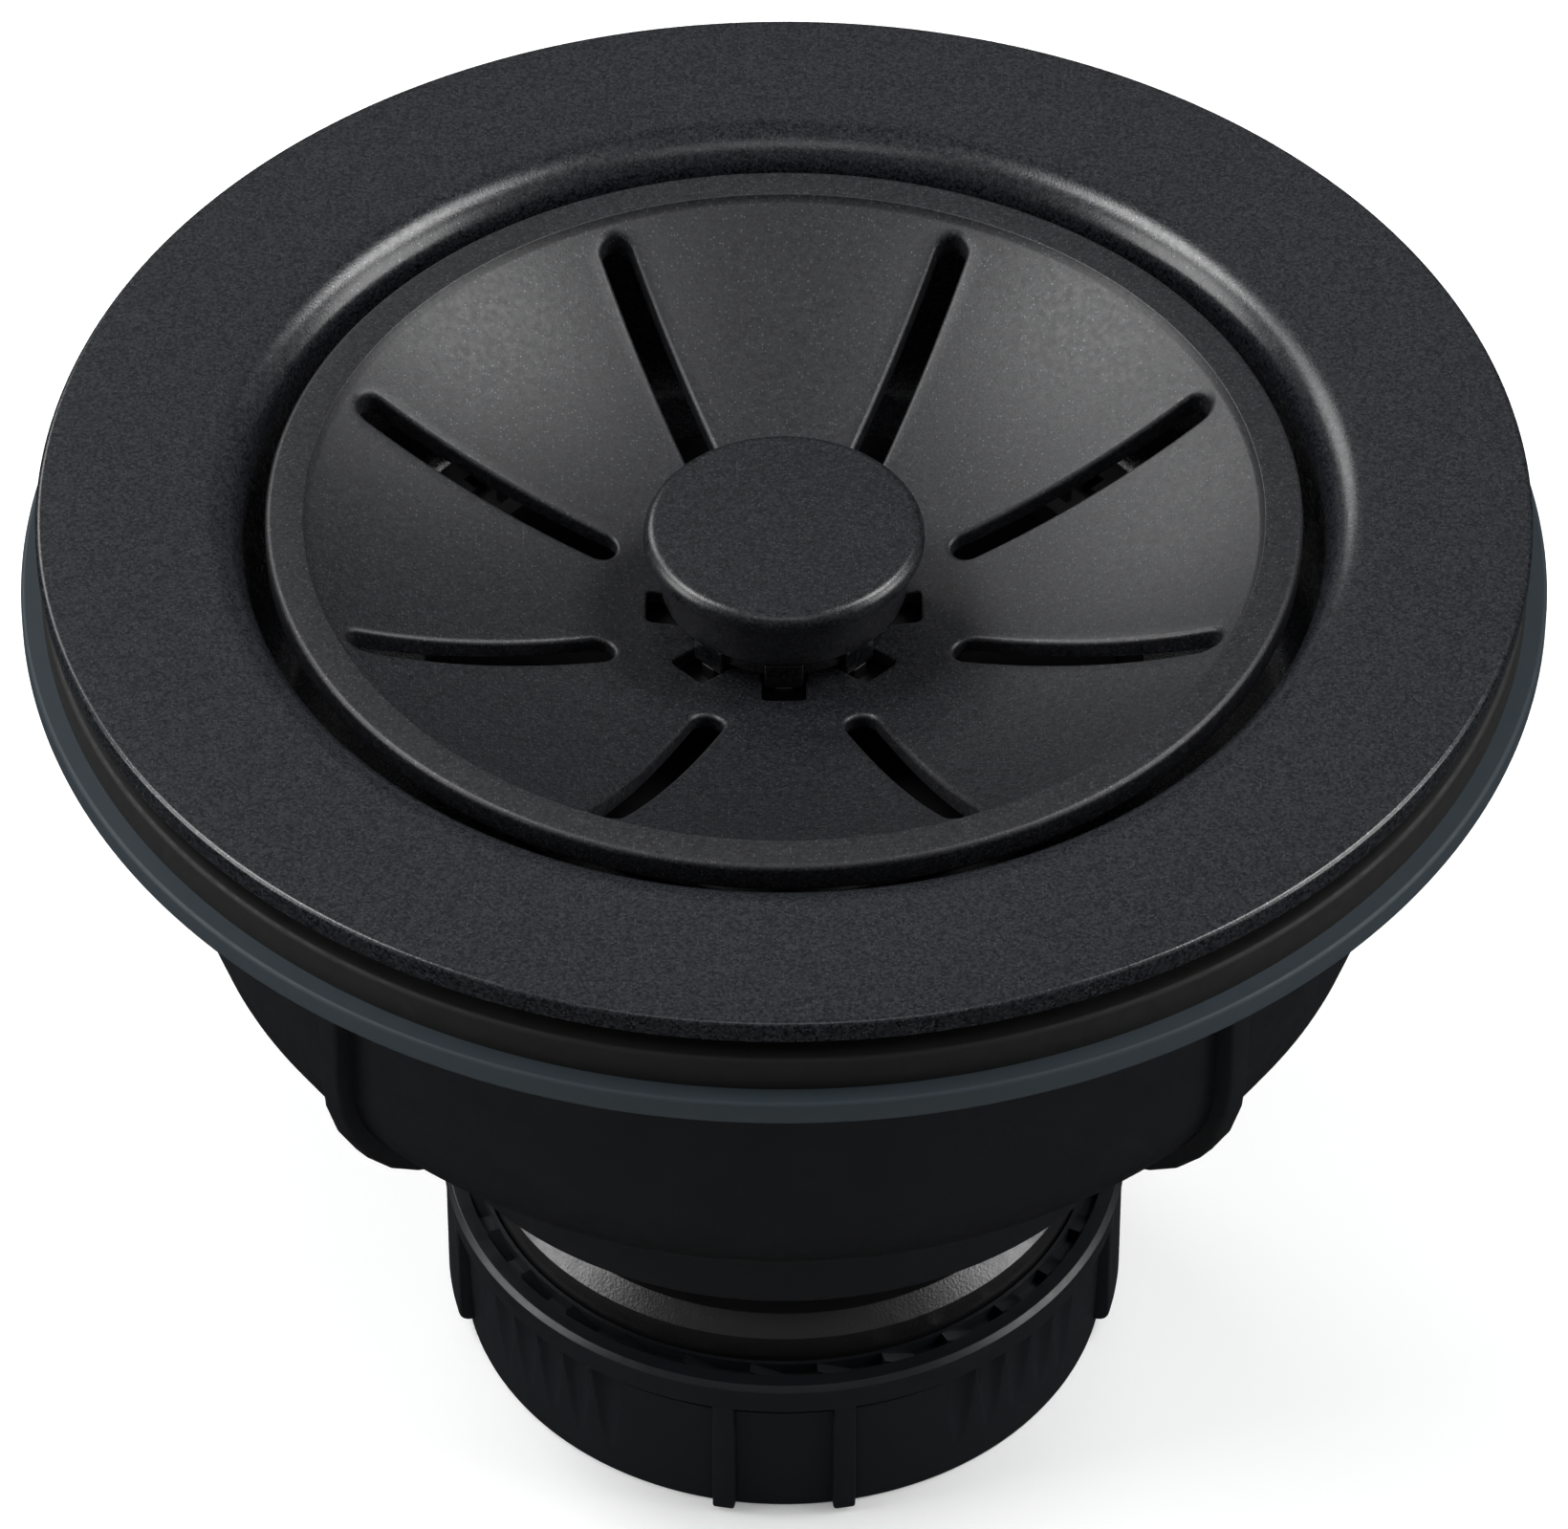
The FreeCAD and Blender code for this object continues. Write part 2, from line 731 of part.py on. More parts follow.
def make_threaded_inserts():
    insert = cut_solid(
        "Insert",
        stepped_pin("Sleeve", [(sheet.insert_radius, sheet.tower_top, sheet.insert_base)]),
        stepped_pin("SleeveHole", [(sheet.insert_bore, sheet.tower_top, sheet.insert_base)]),
    )
    doc.recompute()
    return round_copies("threaded_inserts", insert, int(sheet.screw_count.value), CROSS_TURN)


# --- Guide across the throat ------------------------------------------------------------------

def make_guide_spider():
    floor = sheet.well_depth + sheet.flange_skin
    body = turned("guide_spider", [
        Corner(sheet.guide_ring_bore, at(sheet.guide_base)),
        Corner(sheet.throat_radius, at(sheet.guide_base)),
        Corner(sheet.throat_radius, at(sheet.guide_lip_base)),
        Corner(sheet.guide_lip_radius, at(sheet.guide_lip_base)),
        Corner(sheet.guide_lip_radius, at(floor)),
        Corner(sheet.throat_radius, at(floor)),
        Corner(sheet.throat_radius, at(sheet.well_depth)),
        Corner(sheet.guide_ring_bore, at(sheet.well_depth)),
    ])
    add_bars(body, sheet.sleeve_radius, sheet.guide_ring_bore + sheet.joining,
             sheet.arm_width, sheet.hub_top, sheet.guide_base, sheet.arm_count)
    hub = new_sketch(body, FLAT_PLANE, 0, at(sheet.hub_base))
    draw_circle(hub, Size.of(0), sheet.hub_radius)
    pad(body, hub, sheet.hub_base - sheet.hub_top)
    bore = new_sketch(body, FLAT_PLANE, 0, at(sheet.hub_base))
    draw_circle(bore, Size.of(0), sheet.sleeve_radius)
    cut_between(body, bore, sheet.hub_base - sheet.hub_top)
    return body


def make_guide_sleeve():
    return ring("guide_sleeve", sheet.sleeve_bore, sheet.sleeve_radius, sheet.hub_top, sheet.hub_base)


# --- Plug: slides up and down in the guide ----------------------------------------------------

def make_plug_stem():
    return turned("plug_stem", [
        Corner(0, at(sheet.stem_base)),
        Corner(sheet.stem_radius, at(sheet.stem_base)),
        Corner(sheet.stem_radius, at(sheet.stem_head_base)),
        Corner(sheet.stem_head_radius, at(sheet.stem_head_base)),
        Corner(sheet.stem_head_radius, at(sheet.stem_top), sheet.fine_edge),
        Corner(0, at(sheet.stem_top)),
    ])


def make_plug_tip():
    body = turned("plug_tip", [
        Corner(0, at(sheet.tip_base)),
        Corner(sheet.tip_nose_radius, at(sheet.tip_base)),
        Corner(sheet.stem_radius, at(sheet.tip_taper_top)),
        Corner(sheet.stem_radius, at(sheet.stem_base)),
        Corner(0, at(sheet.stem_base)),
    ])
    cut_bars(body, Size.of(0), sheet.stem_radius + sheet.joining, sheet.tip_slit,
             sheet.tip_slit_top, sheet.tip_base, sheet.tip_slit_count)
    return body


def make_stem_spacer():
    return ring("stem_spacer", sheet.stem_radius, sheet.spacer_radius, sheet.spacer_top, sheet.stopper_top)


def make_stopper_disc():
    return turned("stopper_disc", [
        Corner(sheet.stem_radius, at(sheet.stopper_base)),
        Corner(sheet.stopper_radius, at(sheet.stopper_base)),
        Corner(sheet.stopper_radius, at(sheet.stopper_top), sheet.soft_edge),
        Corner(sheet.stem_radius, at(sheet.stopper_top)),
    ])


def make_stopper_seal():
    return turned("stopper_seal", [
        Corner(sheet.stopper_seal_bore, at(sheet.stopper_seal_base)),
        Corner(sheet.stopper_seal_radius, at(sheet.stopper_seal_base), sheet.fine_edge),
        Corner(sheet.stopper_seal_radius, at(sheet.stopper_seal_top), sheet.edge),
        Corner(sheet.stopper_radius, at(sheet.stopper_seal_top)),
        Corner(sheet.stopper_radius, at(sheet.stopper_base)),
        Corner(sheet.stopper_seal_bore, at(sheet.stopper_base)),
    ])


def make_stem_clip():
    return ring("stem_clip", sheet.stem_radius, sheet.clip_radius, sheet.stopper_base, sheet.clip_base)


# --- Strainer and knob: turn on the plug's stem -----------------------------------------------

def make_strainer_plate():
    skin = sheet.plate_skin
    body = turned("strainer_plate", [
        Corner(sheet.sleeve_radius, at(sheet.dish_depth + skin)),
        Corner(sheet.rim_inner, at(sheet.plate_top + sheet.plate_edge), domed=True),
        Corner(sheet.plate_radius, at(sheet.plate_top + sheet.plate_edge), sheet.edge),
        Corner(sheet.plate_radius, at(sheet.plate_top), sheet.soft_edge),
        Corner(sheet.rim_inner, at(sheet.plate_top)),
        Corner(sheet.dish_radius, at(sheet.dish_top)),
        Corner(sheet.sleeve_radius, at(sheet.dish_depth), domed=True),
    ])
    below = sheet.dish_depth + skin + sheet.joining
    slot = new_sketch(body, FLAT_PLANE, HALF_SLOT_TURN, at(below))
    draw_slot(slot, sheet.slot_inner, sheet.slot_outer, sheet.slot_width)
    cutter = cut_between(body, slot, below)
    repeat_round(body, [cutter], sheet.slot_count)
    cut_bars(body, sheet.window_inner, sheet.window_outer, sheet.window_width,
             sheet.dish_depth - skin * 2, below, sheet.slot_count)
    return body


def make_knob_cap():
    return turned("knob_cap", [
        Corner(0, at(sheet.knob_crease)),
        Corner(sheet.knob_radius, at(sheet.knob_crease), sheet.edge),
        Corner(sheet.knob_radius, at(sheet.knob_top), sheet.knob_edge),
        Corner(0, at(sheet.knob_top)),
    ])


def make_knob_collar():
    return turned("knob_collar", [
        Corner(sheet.knob_cavity, at(sheet.collar_low)),
        Corner(sheet.collar_low_radius, at(sheet.collar_low), sheet.fine_edge),
        Corner(sheet.collar_top_radius, at(sheet.knob_crease)),
        Corner(sheet.knob_cavity, at(sheet.knob_crease)),
    ])


def make_knob_crown():
    body = ring("knob_crown", sheet.sleeve_radius, sheet.crown_radius, sheet.collar_low, sheet.crown_low)
    add_bars(body, sheet.leg_inner, sheet.leg_outer, sheet.leg_width,
             sheet.collar_low + sheet.joining, sheet.leg_low, sheet.slot_count)
    return body


def make_knob_bush():
    return ring("knob_bush", sheet.sleeve_bore, sheet.sleeve_radius, sheet.bush_top, sheet.bush_low)


def make_latch_ring():
    body = ring("latch_ring", sheet.latch_inner, sheet.latch_outer, sheet.latch_top, sheet.latch_low)
    add_bars(body, sheet.finger_inner, sheet.finger_outer, sheet.finger_width,
             sheet.finger_top, sheet.latch_low, sheet.slot_count)
    return body


# --- Rings at the end of the neck -------------------------------------------------------------

def make_thrust_ring():
    return turned("thrust_ring", [
        Corner(sheet.neck_radius, at(sheet.thrust_base)),
        Corner(sheet.thrust_radius, at(sheet.thrust_base)),
        Corner(sheet.thrust_radius, at(sheet.thrust_edge)),
        Corner(sheet.thrust_hub_radius, at(sheet.thrust_hub_top)),
        Corner(sheet.neck_radius, at(sheet.thrust_hub_top)),
    ])


def make_retaining_ring():
    return ring("retaining_ring", sheet.ring_groove_radius, sheet.retainer_radius,
                sheet.ring_groove_top, sheet.ring_groove_base)


def make_outlet_washer():
    return ring("outlet_washer", sheet.neck_bore, sheet.washer_radius, sheet.neck_base, sheet.washer_base)


# --- Union nut --------------------------------------------------------------------------------

def thread_corners():
    """The inner outline of the nut's thread, from its lower face up: closed rings at the pitch."""
    land = sheet.thread_land
    flank = (sheet.thread_pitch - land * 2) / 2
    turns = int(sheet.thread_turns.value)
    start = at(sheet.relief_base) - sheet.thread_pitch * turns - land * 2 - flank
    corners = [Corner(sheet.thread_minor, start)]
    for turn in range(turns):
        foot = start + sheet.thread_pitch * turn + land
        corners += [
            Corner(sheet.thread_minor, foot),
            Corner(sheet.thread_major, foot + flank),
            Corner(sheet.thread_major, foot + flank + land),
            Corner(sheet.thread_minor, foot + flank * 2 + land),
        ]
    return corners


def make_union_nut():
    body = turned("union_nut", [
        Corner(sheet.nut_cavity, at(sheet.nut_top)),
        Corner(sheet.nut_cavity, at(sheet.nut_lip_top)),
        Corner(sheet.nut_lip_radius, at(sheet.nut_lip_top)),
        Corner(sheet.nut_lip_radius, at(sheet.nut_lip_base)),
        Corner(sheet.relief_radius, at(sheet.nut_lip_base)),
        Corner(sheet.relief_radius, at(sheet.relief_base)),
        Corner(sheet.thread_minor, at(sheet.relief_base)),
        *thread_corners()[1:][::-1],
        Corner(sheet.thread_minor, sheet.lead_in),
        Corner(sheet.lead_in_radius, Size.of(0)),
        Corner(sheet.nut_foot_radius, Size.of(0), sheet.edge),
        Corner(sheet.nut_wall_radius, at(sheet.nut_groove_base)),
        Corner(sheet.nut_groove_radius, at(sheet.nut_groove_base)),
        Corner(sheet.nut_groove_radius, at(sheet.nut_rim_base)),
        Corner(sheet.nut_rim_low_radius, at(sheet.nut_rim_base)),
        Corner(sheet.nut_rim_radius, at(sheet.nut_top), sheet.soft_edge),
    ])
    add_grip_ribs(body)
    add_wings(body)
    cut_flutes(body)
    return body


def add_grip_ribs(body):
    """Two narrow ribs at the front of the nut and two at the back."""
    spread = math.degrees(math.asin(sheet.grip_rib_offset.value / sheet.grip_rib_radius.value))
    for turn in (90 - spread, 90 + spread):
        add_bars(body, sheet.nut_groove_radius - sheet.joining, sheet.grip_rib_radius, sheet.grip_rib_width,
                 sheet.grip_top, sheet.grip_rib_base, Size.of(2), turn)


def add_wings(body):
    """The two broad pads at the sides of the nut, flush with its rim."""
    add_band(body, [
        Corner(sheet.nut_groove_radius - sheet.joining, at(sheet.grip_top)),
        Corner(sheet.nut_groove_radius - sheet.joining, at(sheet.wing_base)),
        Corner(sheet.wing_radius, at(sheet.wing_base), sheet.wing_corner),
        Corner(sheet.nut_rim_low_radius, at(sheet.grip_top)),
    ], sheet.wing_angle, Size.of(2))


def cut_flutes(body):
    """Four groups of flutes that grow shallower downwards and run out above the nut's foot."""
    cones = []
    count = int(sheet.flute_count.value)
    for flute in range(count):
        angle = math.radians(CROSS_TURN + (flute - (count - 1) / 2) * sheet.flute_step.value)
        cone = body.newObject("PartDesign::SubtractiveCone", "Flute")
        bind(cone, "Radius1", sheet.flute_low_radius)
        bind(cone, "Radius2", sheet.flute_top_radius)
        bind(cone, "Height", sheet.flute_base - sheet.nut_rim_base)
        bind(cone, "Placement.Base.x", sheet.flute_circle * math.cos(angle))
        bind(cone, "Placement.Base.y", sheet.flute_circle * math.sin(angle))
        bind(cone, "Placement.Base.z", at(sheet.flute_base))
        cones.append(cone)
        body.Tip = cone
    doc.recompute()
    repeat_round(body, cones, sheet.flute_groups)


def make_ratchet_ring():
    """A ring with a channel in its top, in which saw teeth ramp up and drop."""
    body = turned("ratchet_ring", [
        Corner(sheet.ratchet_inner, at(sheet.nut_lip_top)),
        Corner(sheet.ratchet_outer, at(sheet.nut_lip_top)),
        Corner(sheet.ratchet_outer, at(sheet.ratchet_floor)),
        Corner(sheet.ratchet_channel, at(sheet.ratchet_floor)),
        Corner(sheet.ratchet_channel, at(sheet.ratchet_top)),
        Corner(sheet.ratchet_inner, at(sheet.ratchet_top)),
    ])
    pitch = sheet.ratchet_outer * (2 * math.pi) / sheet.tooth_count
    tooth = new_sketch(body, SIDE_PLANE, 0, sheet.ratchet_channel - sheet.tooth_sink)
    draw_outline(tooth, [
        Corner(0, at(sheet.ratchet_floor + sheet.tooth_sink)),
        Corner(pitch / 2, at(sheet.ratchet_floor + sheet.tooth_sink)),
        Corner(pitch / 2, at(sheet.ratchet_floor)),
        Corner(0, at(sheet.ratchet_top)),
    ])
    repeat_round(body, [pad(body, tooth, sheet.ratchet_outer - sheet.ratchet_channel)],
                 sheet.tooth_count)
    return body


# --- Build and write --------------------------------------------------------------------------

MAKERS = [
    make_sink_flange, make_flange_seal, make_clamping_gasket, make_drain_bowl,
    make_clamp_screws, make_screw_seals, make_threaded_inserts,
    make_guide_spider, make_guide_sleeve,
    make_plug_stem, make_plug_tip, make_stem_spacer, make_stopper_disc, make_stopper_seal,
    make_stem_clip,
    make_strainer_plate, make_knob_cap, make_knob_collar, make_knob_crown, make_knob_bush,
    make_latch_ring,
    make_thrust_ring, make_retaining_ring, make_outlet_washer,
    make_union_nut, make_ratchet_ring,
]


def check_document(sub_parts):
    """Stop if any object of the document failed, or a sub-part has no valid solid."""
    for item in doc.Objects:
        if {"Invalid", "Error"} & set(item.State):
            raise RuntimeError(f"{item.Label} failed: {item.State}")
    for sub_part in sub_parts:
        shape = sub_part.Shape
        if shape.isNull() or not shape.isValid() or not shape.Solids:
            raise RuntimeError(f"{sub_part.Label} has no valid solid")


sub_parts = [make() for make in MAKERS]
doc.recompute()
check_document(sub_parts)
os.makedirs("parts", exist_ok=True)
for sub_part in sub_parts:
    sub_part.Shape.exportStep(f"parts/{sub_part.Label}.step")
    print(f"{sub_part.Label}: {sub_part.Shape.Volume:.0f} mm3, {len(sub_part.Shape.Solids)} solid(s)")
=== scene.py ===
"""Looks of a kitchen sink basket-strainer drain: fine meshes, coats, plastics, lights and camera.

Radii and depths are in millimetres, as a turner would read them off a drawing. A depth is
measured down from the top face of the sink flange.
"""

import json
import math

import bmesh
import bpy
from mathutils import Matrix, Vector


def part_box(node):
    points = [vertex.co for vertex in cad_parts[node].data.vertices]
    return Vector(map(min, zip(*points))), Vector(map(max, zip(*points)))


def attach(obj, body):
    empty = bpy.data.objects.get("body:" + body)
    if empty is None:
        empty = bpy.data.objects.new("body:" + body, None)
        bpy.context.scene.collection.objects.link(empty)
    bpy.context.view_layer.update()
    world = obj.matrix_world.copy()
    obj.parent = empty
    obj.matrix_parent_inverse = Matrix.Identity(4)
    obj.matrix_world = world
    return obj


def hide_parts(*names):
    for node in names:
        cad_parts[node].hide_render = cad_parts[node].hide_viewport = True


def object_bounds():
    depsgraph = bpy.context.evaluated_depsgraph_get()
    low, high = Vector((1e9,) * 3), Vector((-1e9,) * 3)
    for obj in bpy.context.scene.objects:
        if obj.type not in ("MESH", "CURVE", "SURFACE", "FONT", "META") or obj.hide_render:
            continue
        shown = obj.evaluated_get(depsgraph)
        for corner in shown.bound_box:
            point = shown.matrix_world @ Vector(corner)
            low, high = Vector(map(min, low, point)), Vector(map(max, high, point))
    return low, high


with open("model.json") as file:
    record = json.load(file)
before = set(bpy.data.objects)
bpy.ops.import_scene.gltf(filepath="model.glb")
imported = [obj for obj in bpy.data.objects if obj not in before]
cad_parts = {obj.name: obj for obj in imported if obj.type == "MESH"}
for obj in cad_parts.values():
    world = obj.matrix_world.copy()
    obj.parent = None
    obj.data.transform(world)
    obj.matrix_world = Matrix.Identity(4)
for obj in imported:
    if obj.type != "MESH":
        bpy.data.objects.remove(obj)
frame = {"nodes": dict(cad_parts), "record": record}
cad_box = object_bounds()

MM = 0.001
SUNK = 1.0  # how far a fin, rib or leg reaches into the wall that it stands on
FLANGE_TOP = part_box("sink_flange")[1].z
FLOOR_HEIGHT = cad_box[0].z
SLOT_OF = {part["node"]: part["material_slot"] for part in frame["record"]["subparts"]}
BODY_OF = {
    node: body
    for body, members in frame["record"]["behaviour"]["bodies"].items()
    for node in members
}

TURNING_STEPS = 360
INNER_TURNING_STEPS = 180
TOWER_STEPS = 48
ARC_STEPS = 8
BEVEL_STEPS = 3
BEVEL_FROM_DEGREES = 40
ON_AXIS = 1e-6


# --- Materials --------------------------------------------------------------------------------

# Most of a noise's values lie between these.
NOISE_LOW = 0.3
NOISE_HIGH = 0.7
COAT_GRAIN = 0.17
COAT_FLAKE = 0.24
COAT_ROUGHNESS_RANGE = 0.04
COAT_RELIEF = 0.012
# A grain is a flake when its random value is past FLAKE_START, and it fades from its core out.
FLAKE_COLOUR = (0.10, 0.103, 0.11)
FLAKE_START = 0.76
FLAKE_FULL = 0.90
FLAKE_CORE = 0.15
FLAKE_EDGE = 0.42
PLASTIC_CLOUD = 6.0
PLASTIC_RELIEF = 0.004
BOWL_ROUGHNESS = 0.48
BOWL_GLOSS = 0.25
RIM_GLOSS = 0.20
# Depths below the bowl's top between which its painted highlight band fades in.
LIT_BAND_FADE_BASE = 2.3
LIT_BAND_FADE_TOP = 1.9


class Nodes:
    """Short calls for building one node material on object coordinates."""

    def __init__(self, name):
        self.material = bpy.data.materials.new(name)
        self.material.use_nodes = True
        self.tree = self.material.node_tree
        self.shader = self.tree.nodes["Principled BSDF"]
        self.place = self.tree.nodes.new("ShaderNodeTexCoord").outputs["Object"]

    def link(self, source, target):
        self.tree.links.new(source, target)

    def noise(self, size, detail=2.0):
        """Smooth noise with lumps about size millimetres across."""
        node = self.tree.nodes.new("ShaderNodeTexNoise")
        node.inputs["Scale"].default_value = 1 / (size * MM)
        node.inputs["Detail"].default_value = detail
        self.link(self.place, node.inputs["Vector"])
        return node.outputs["Fac"]

    def grains(self, size):
        """Cells about size millimetres across: a random value for each, and distances to their middles."""
        cells = self.tree.nodes.new("ShaderNodeTexVoronoi")
        cells.inputs["Scale"].default_value = 1 / (size * MM)
        self.link(self.place, cells.inputs["Vector"])
        split = self.tree.nodes.new("ShaderNodeSeparateColor")
        self.link(cells.outputs["Color"], split.inputs["Color"])
        return split.outputs["Red"], cells.outputs["Distance"]

    def spread(self, value, low, high, out_low=0.0, out_high=1.0):
        """Map a value from low..high to out_low..out_high, clamped."""
        node = self.tree.nodes.new("ShaderNodeMapRange")
        self.link(value, node.inputs["Value"])
        node.inputs["From Min"].default_value = low
        node.inputs["From Max"].default_value = high
        node.inputs["To Min"].default_value = out_low
        node.inputs["To Max"].default_value = out_high
        return node.outputs["Result"]

    def waver(self, noise, middle, reach):
        """A value that strays up to reach either way from its middle, as noise rises and falls."""
        return self.spread(noise, NOISE_LOW, NOISE_HIGH, middle - reach, middle + reach)

    def times(self, first, second):
        node = self.tree.nodes.new("ShaderNodeMath")
        node.operation = "MULTIPLY"
        self.link(first, node.inputs[0])
        self.link(second, node.inputs[1])
        return node.outputs["Value"]

    def mix(self, amount, first, second):
        """Mix two colours. The first can be a socket."""
        node = self.tree.nodes.new("ShaderNodeMix")
        node.data_type = "RGBA"
        self.link(amount, node.inputs["Factor"])
        first_socket, second_socket = [item for item in node.inputs if item.type == "RGBA"]
        if isinstance(first, tuple):
            first_socket.default_value = (*first, 1)
        else:
            self.link(first, first_socket)
        second_socket.default_value = (*second, 1)
        return [item for item in node.outputs if item.type == "RGBA"][0]

    def relief(self, height, size):
        """Bumps up to size millimetres high."""
        node = self.tree.nodes.new("ShaderNodeBump")
        node.inputs["Distance"].default_value = size * MM
        self.link(height, node.inputs["Height"])
        self.link(node.outputs["Normal"], self.shader.inputs["Normal"])

    def set(self, **sockets):
        """Set or link sockets of the shader; an underscore stands for a space."""
        for name, value in sockets.items():
            socket = self.shader.inputs[name.replace("_", " ")]
            if isinstance(value, bpy.types.NodeSocket):
                self.link(value, socket)
            else:
                socket.default_value = value


def mineral_coat(name, dark, light, roughness):
    """Baked coat of fine mineral grains. Its small flakes glint only where a light is mirrored."""
    nodes = Nodes(name)
    grain, _ = nodes.grains(COAT_GRAIN)
    flake, distance = nodes.grains(COAT_FLAKE)
    glint = nodes.times(
        nodes.spread(flake, FLAKE_START, FLAKE_FULL),
        nodes.spread(distance, FLAKE_CORE, FLAKE_EDGE, 1.0, 0.0),
    )
    nodes.set(
        Base_Color=nodes.mix(glint, nodes.mix(grain, dark, light), FLAKE_COLOUR),
        Metallic=glint,
        Roughness=nodes.waver(nodes.noise(0.6), roughness, COAT_ROUGHNESS_RANGE),
    )
    nodes.relief(nodes.noise(0.2, detail=3.0), COAT_RELIEF)
    return nodes.material


def moulded_plastic(name, dark, light, roughness, gloss=0.5, grain=PLASTIC_RELIEF):
    """Moulded plastic, a little cloudy, with the fine grain of its mould."""
    nodes = Nodes(name)
    nodes.set(
        Base_Color=nodes.mix(nodes.noise(PLASTIC_CLOUD, detail=4.0), dark, light),
        Roughness=nodes.waver(nodes.noise(1.5, detail=4.0), roughness, 0.05),
        Specular_IOR_Level=gloss,
    )
    nodes.relief(nodes.noise(0.25), grain)
    return nodes.material


def bowl_plastic(name, dark, lit_band_colour, lit_band_base, lit_band_top):
    """Dark moulded plastic with a paler, bluer band painted on its top flange: a painted highlight that
    stands for the light falling on that flange, which the shaded bowl below it does not get.
    """
    nodes = Nodes(name)
    split = nodes.tree.nodes.new("ShaderNodeSeparateXYZ")
    nodes.link(nodes.place, split.inputs["Vector"])
    # share is 1 on the top flange, which gets the painted highlight colour, and 0 on the shaded bowl
    # below.
    share = nodes.spread(split.outputs["Z"], lit_band_base, lit_band_top)
    light = tuple(channel * 1.3 for channel in dark)
    cloudy = nodes.mix(nodes.noise(PLASTIC_CLOUD, detail=4.0), dark, light)
    nodes.set(
        Base_Color=nodes.mix(share, cloudy, lit_band_colour),
        Roughness=nodes.waver(nodes.noise(1.5, detail=4.0), BOWL_ROUGHNESS, 0.06),
        Specular_IOR_Level=nodes.spread(share, 0.0, 1.0, BOWL_GLOSS, RIM_GLOSS),
    )
    nodes.relief(nodes.noise(0.25), PLASTIC_RELIEF)
    return nodes.material


def rubber(name, dark, light):
    nodes = Nodes(name)
    nodes.set(
        Base_Color=nodes.mix(nodes.noise(2.0, detail=5.0), dark, light),
        Roughness=nodes.waver(nodes.noise(0.8), 0.59, 0.09),
        Specular_IOR_Level=0.25,
    )
    nodes.relief(nodes.noise(0.35, detail=3.0), 0.006)
    return nodes.material


def turned_metal(name, dark, light, roughness):
    """Metal with fine turning marks."""
    nodes = Nodes(name)
    marks = nodes.noise(0.4, detail=4.0)
    nodes.set(
        Base_Color=nodes.mix(nodes.noise(3.0), dark, light),
        Metallic=1.0,
        Roughness=nodes.waver(marks, roughness, 0.06),
    )
    nodes.relief(marks, 0.003)
    return nodes.material


RIM_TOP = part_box("drain_bowl")[1].z
MATERIALS = {
    "flange_coat": mineral_coat(
        "FlangeCoat", (0.001, 0.0012, 0.0022), (0.018, 0.0190, 0.0225), 0.26),
    "strainer_coat": mineral_coat(
        "StrainerCoat", (0.0002, 0.0003, 0.0010), (0.0115, 0.0122, 0.0150), 0.45),
    "knob_coat": mineral_coat(
        "KnobCoat", (0.0008, 0.001, 0.0018), (0.0135, 0.0143, 0.0172), 0.31),
    "gasket_rubber": rubber(
        "GasketRubber", (0.011, 0.0108, 0.0104), (0.015, 0.0147, 0.0142)),
    "foam_seal": rubber("FoamSeal", (0.003, 0.003, 0.003), (0.005, 0.005, 0.005)),
    "black_rubber": rubber("BlackRubber", (0.004, 0.004, 0.004), (0.006, 0.006, 0.006)),
    # The bowl's top flange is painted paler and bluer than its wall, a painted highlight for the light
    # that falls on it.
    "bowl_plastic": bowl_plastic(
        "BowlPlastic", (0.0076, 0.0082, 0.0098), (0.027, 0.036, 0.043),
        RIM_TOP - LIT_BAND_FADE_BASE * MM, RIM_TOP - LIT_BAND_FADE_TOP * MM),
    "nut_plastic": moulded_plastic(
        "NutPlastic", (0.0080, 0.0090, 0.0110), (0.0105, 0.0118, 0.0142), 0.36, 0.40),
    "ring_plastic": moulded_plastic(
        "RingPlastic", (0.006, 0.006, 0.0066), (0.009, 0.009, 0.0096), 0.36, 0.8, 0.03),
    "guide_plastic": moulded_plastic(
        "GuidePlastic", (0.004, 0.004, 0.0045), (0.006, 0.006, 0.0065), 0.42, 0.3),
    "bearing_plastic": moulded_plastic(
        "BearingPlastic", (0.30, 0.30, 0.28), (0.38, 0.38, 0.36), 0.40),
    # Screw steel is painted dark: a painted shade for the screw heads, which are seen in shadow through
    # the plate's side slots.
    "screw_steel": turned_metal("ScrewSteelPaintedShade", (0.07, 0.07, 0.07), (0.10, 0.10, 0.10), 0.45),
    "stem_steel": turned_metal("StemSteel", (0.48, 0.48, 0.48), (0.58, 0.58, 0.58), 0.28),
    "insert_brass": turned_metal("InsertBrass", (0.60, 0.43, 0.19), (0.72, 0.53, 0.25), 0.30),
}


# --- Meshes -----------------------------------------------------------------------------------

# How far the edges of a turned outline are rounded.
CRISP_EDGE = 0.15
FINE_EDGE = 0.2
LIGHT_EDGE = 0.3
MOULDED_EDGE = 0.35
SOFT_EDGE = 0.4


def rounded_corner(before, corner, after, rounding):
    """Points of the arc that rounds a corner between two straight edges."""
    tip = Vector(corner)
    back = (Vector(before) - tip).normalized()
    forth = (Vector(after) - tip).normalized()
    half_angle = back.angle(forth) / 2
    reach = rounding / math.tan(half_angle)
    centre = tip + (back + forth).normalized() * (rounding / math.sin(half_angle))
    start = tip + back * reach - centre
    sweep = start.angle_signed(tip + forth * reach - centre)
    return [
        centre + Matrix.Rotation(-sweep * step / ARC_STEPS, 2) @ start
        for step in range(ARC_STEPS + 1)
    ]


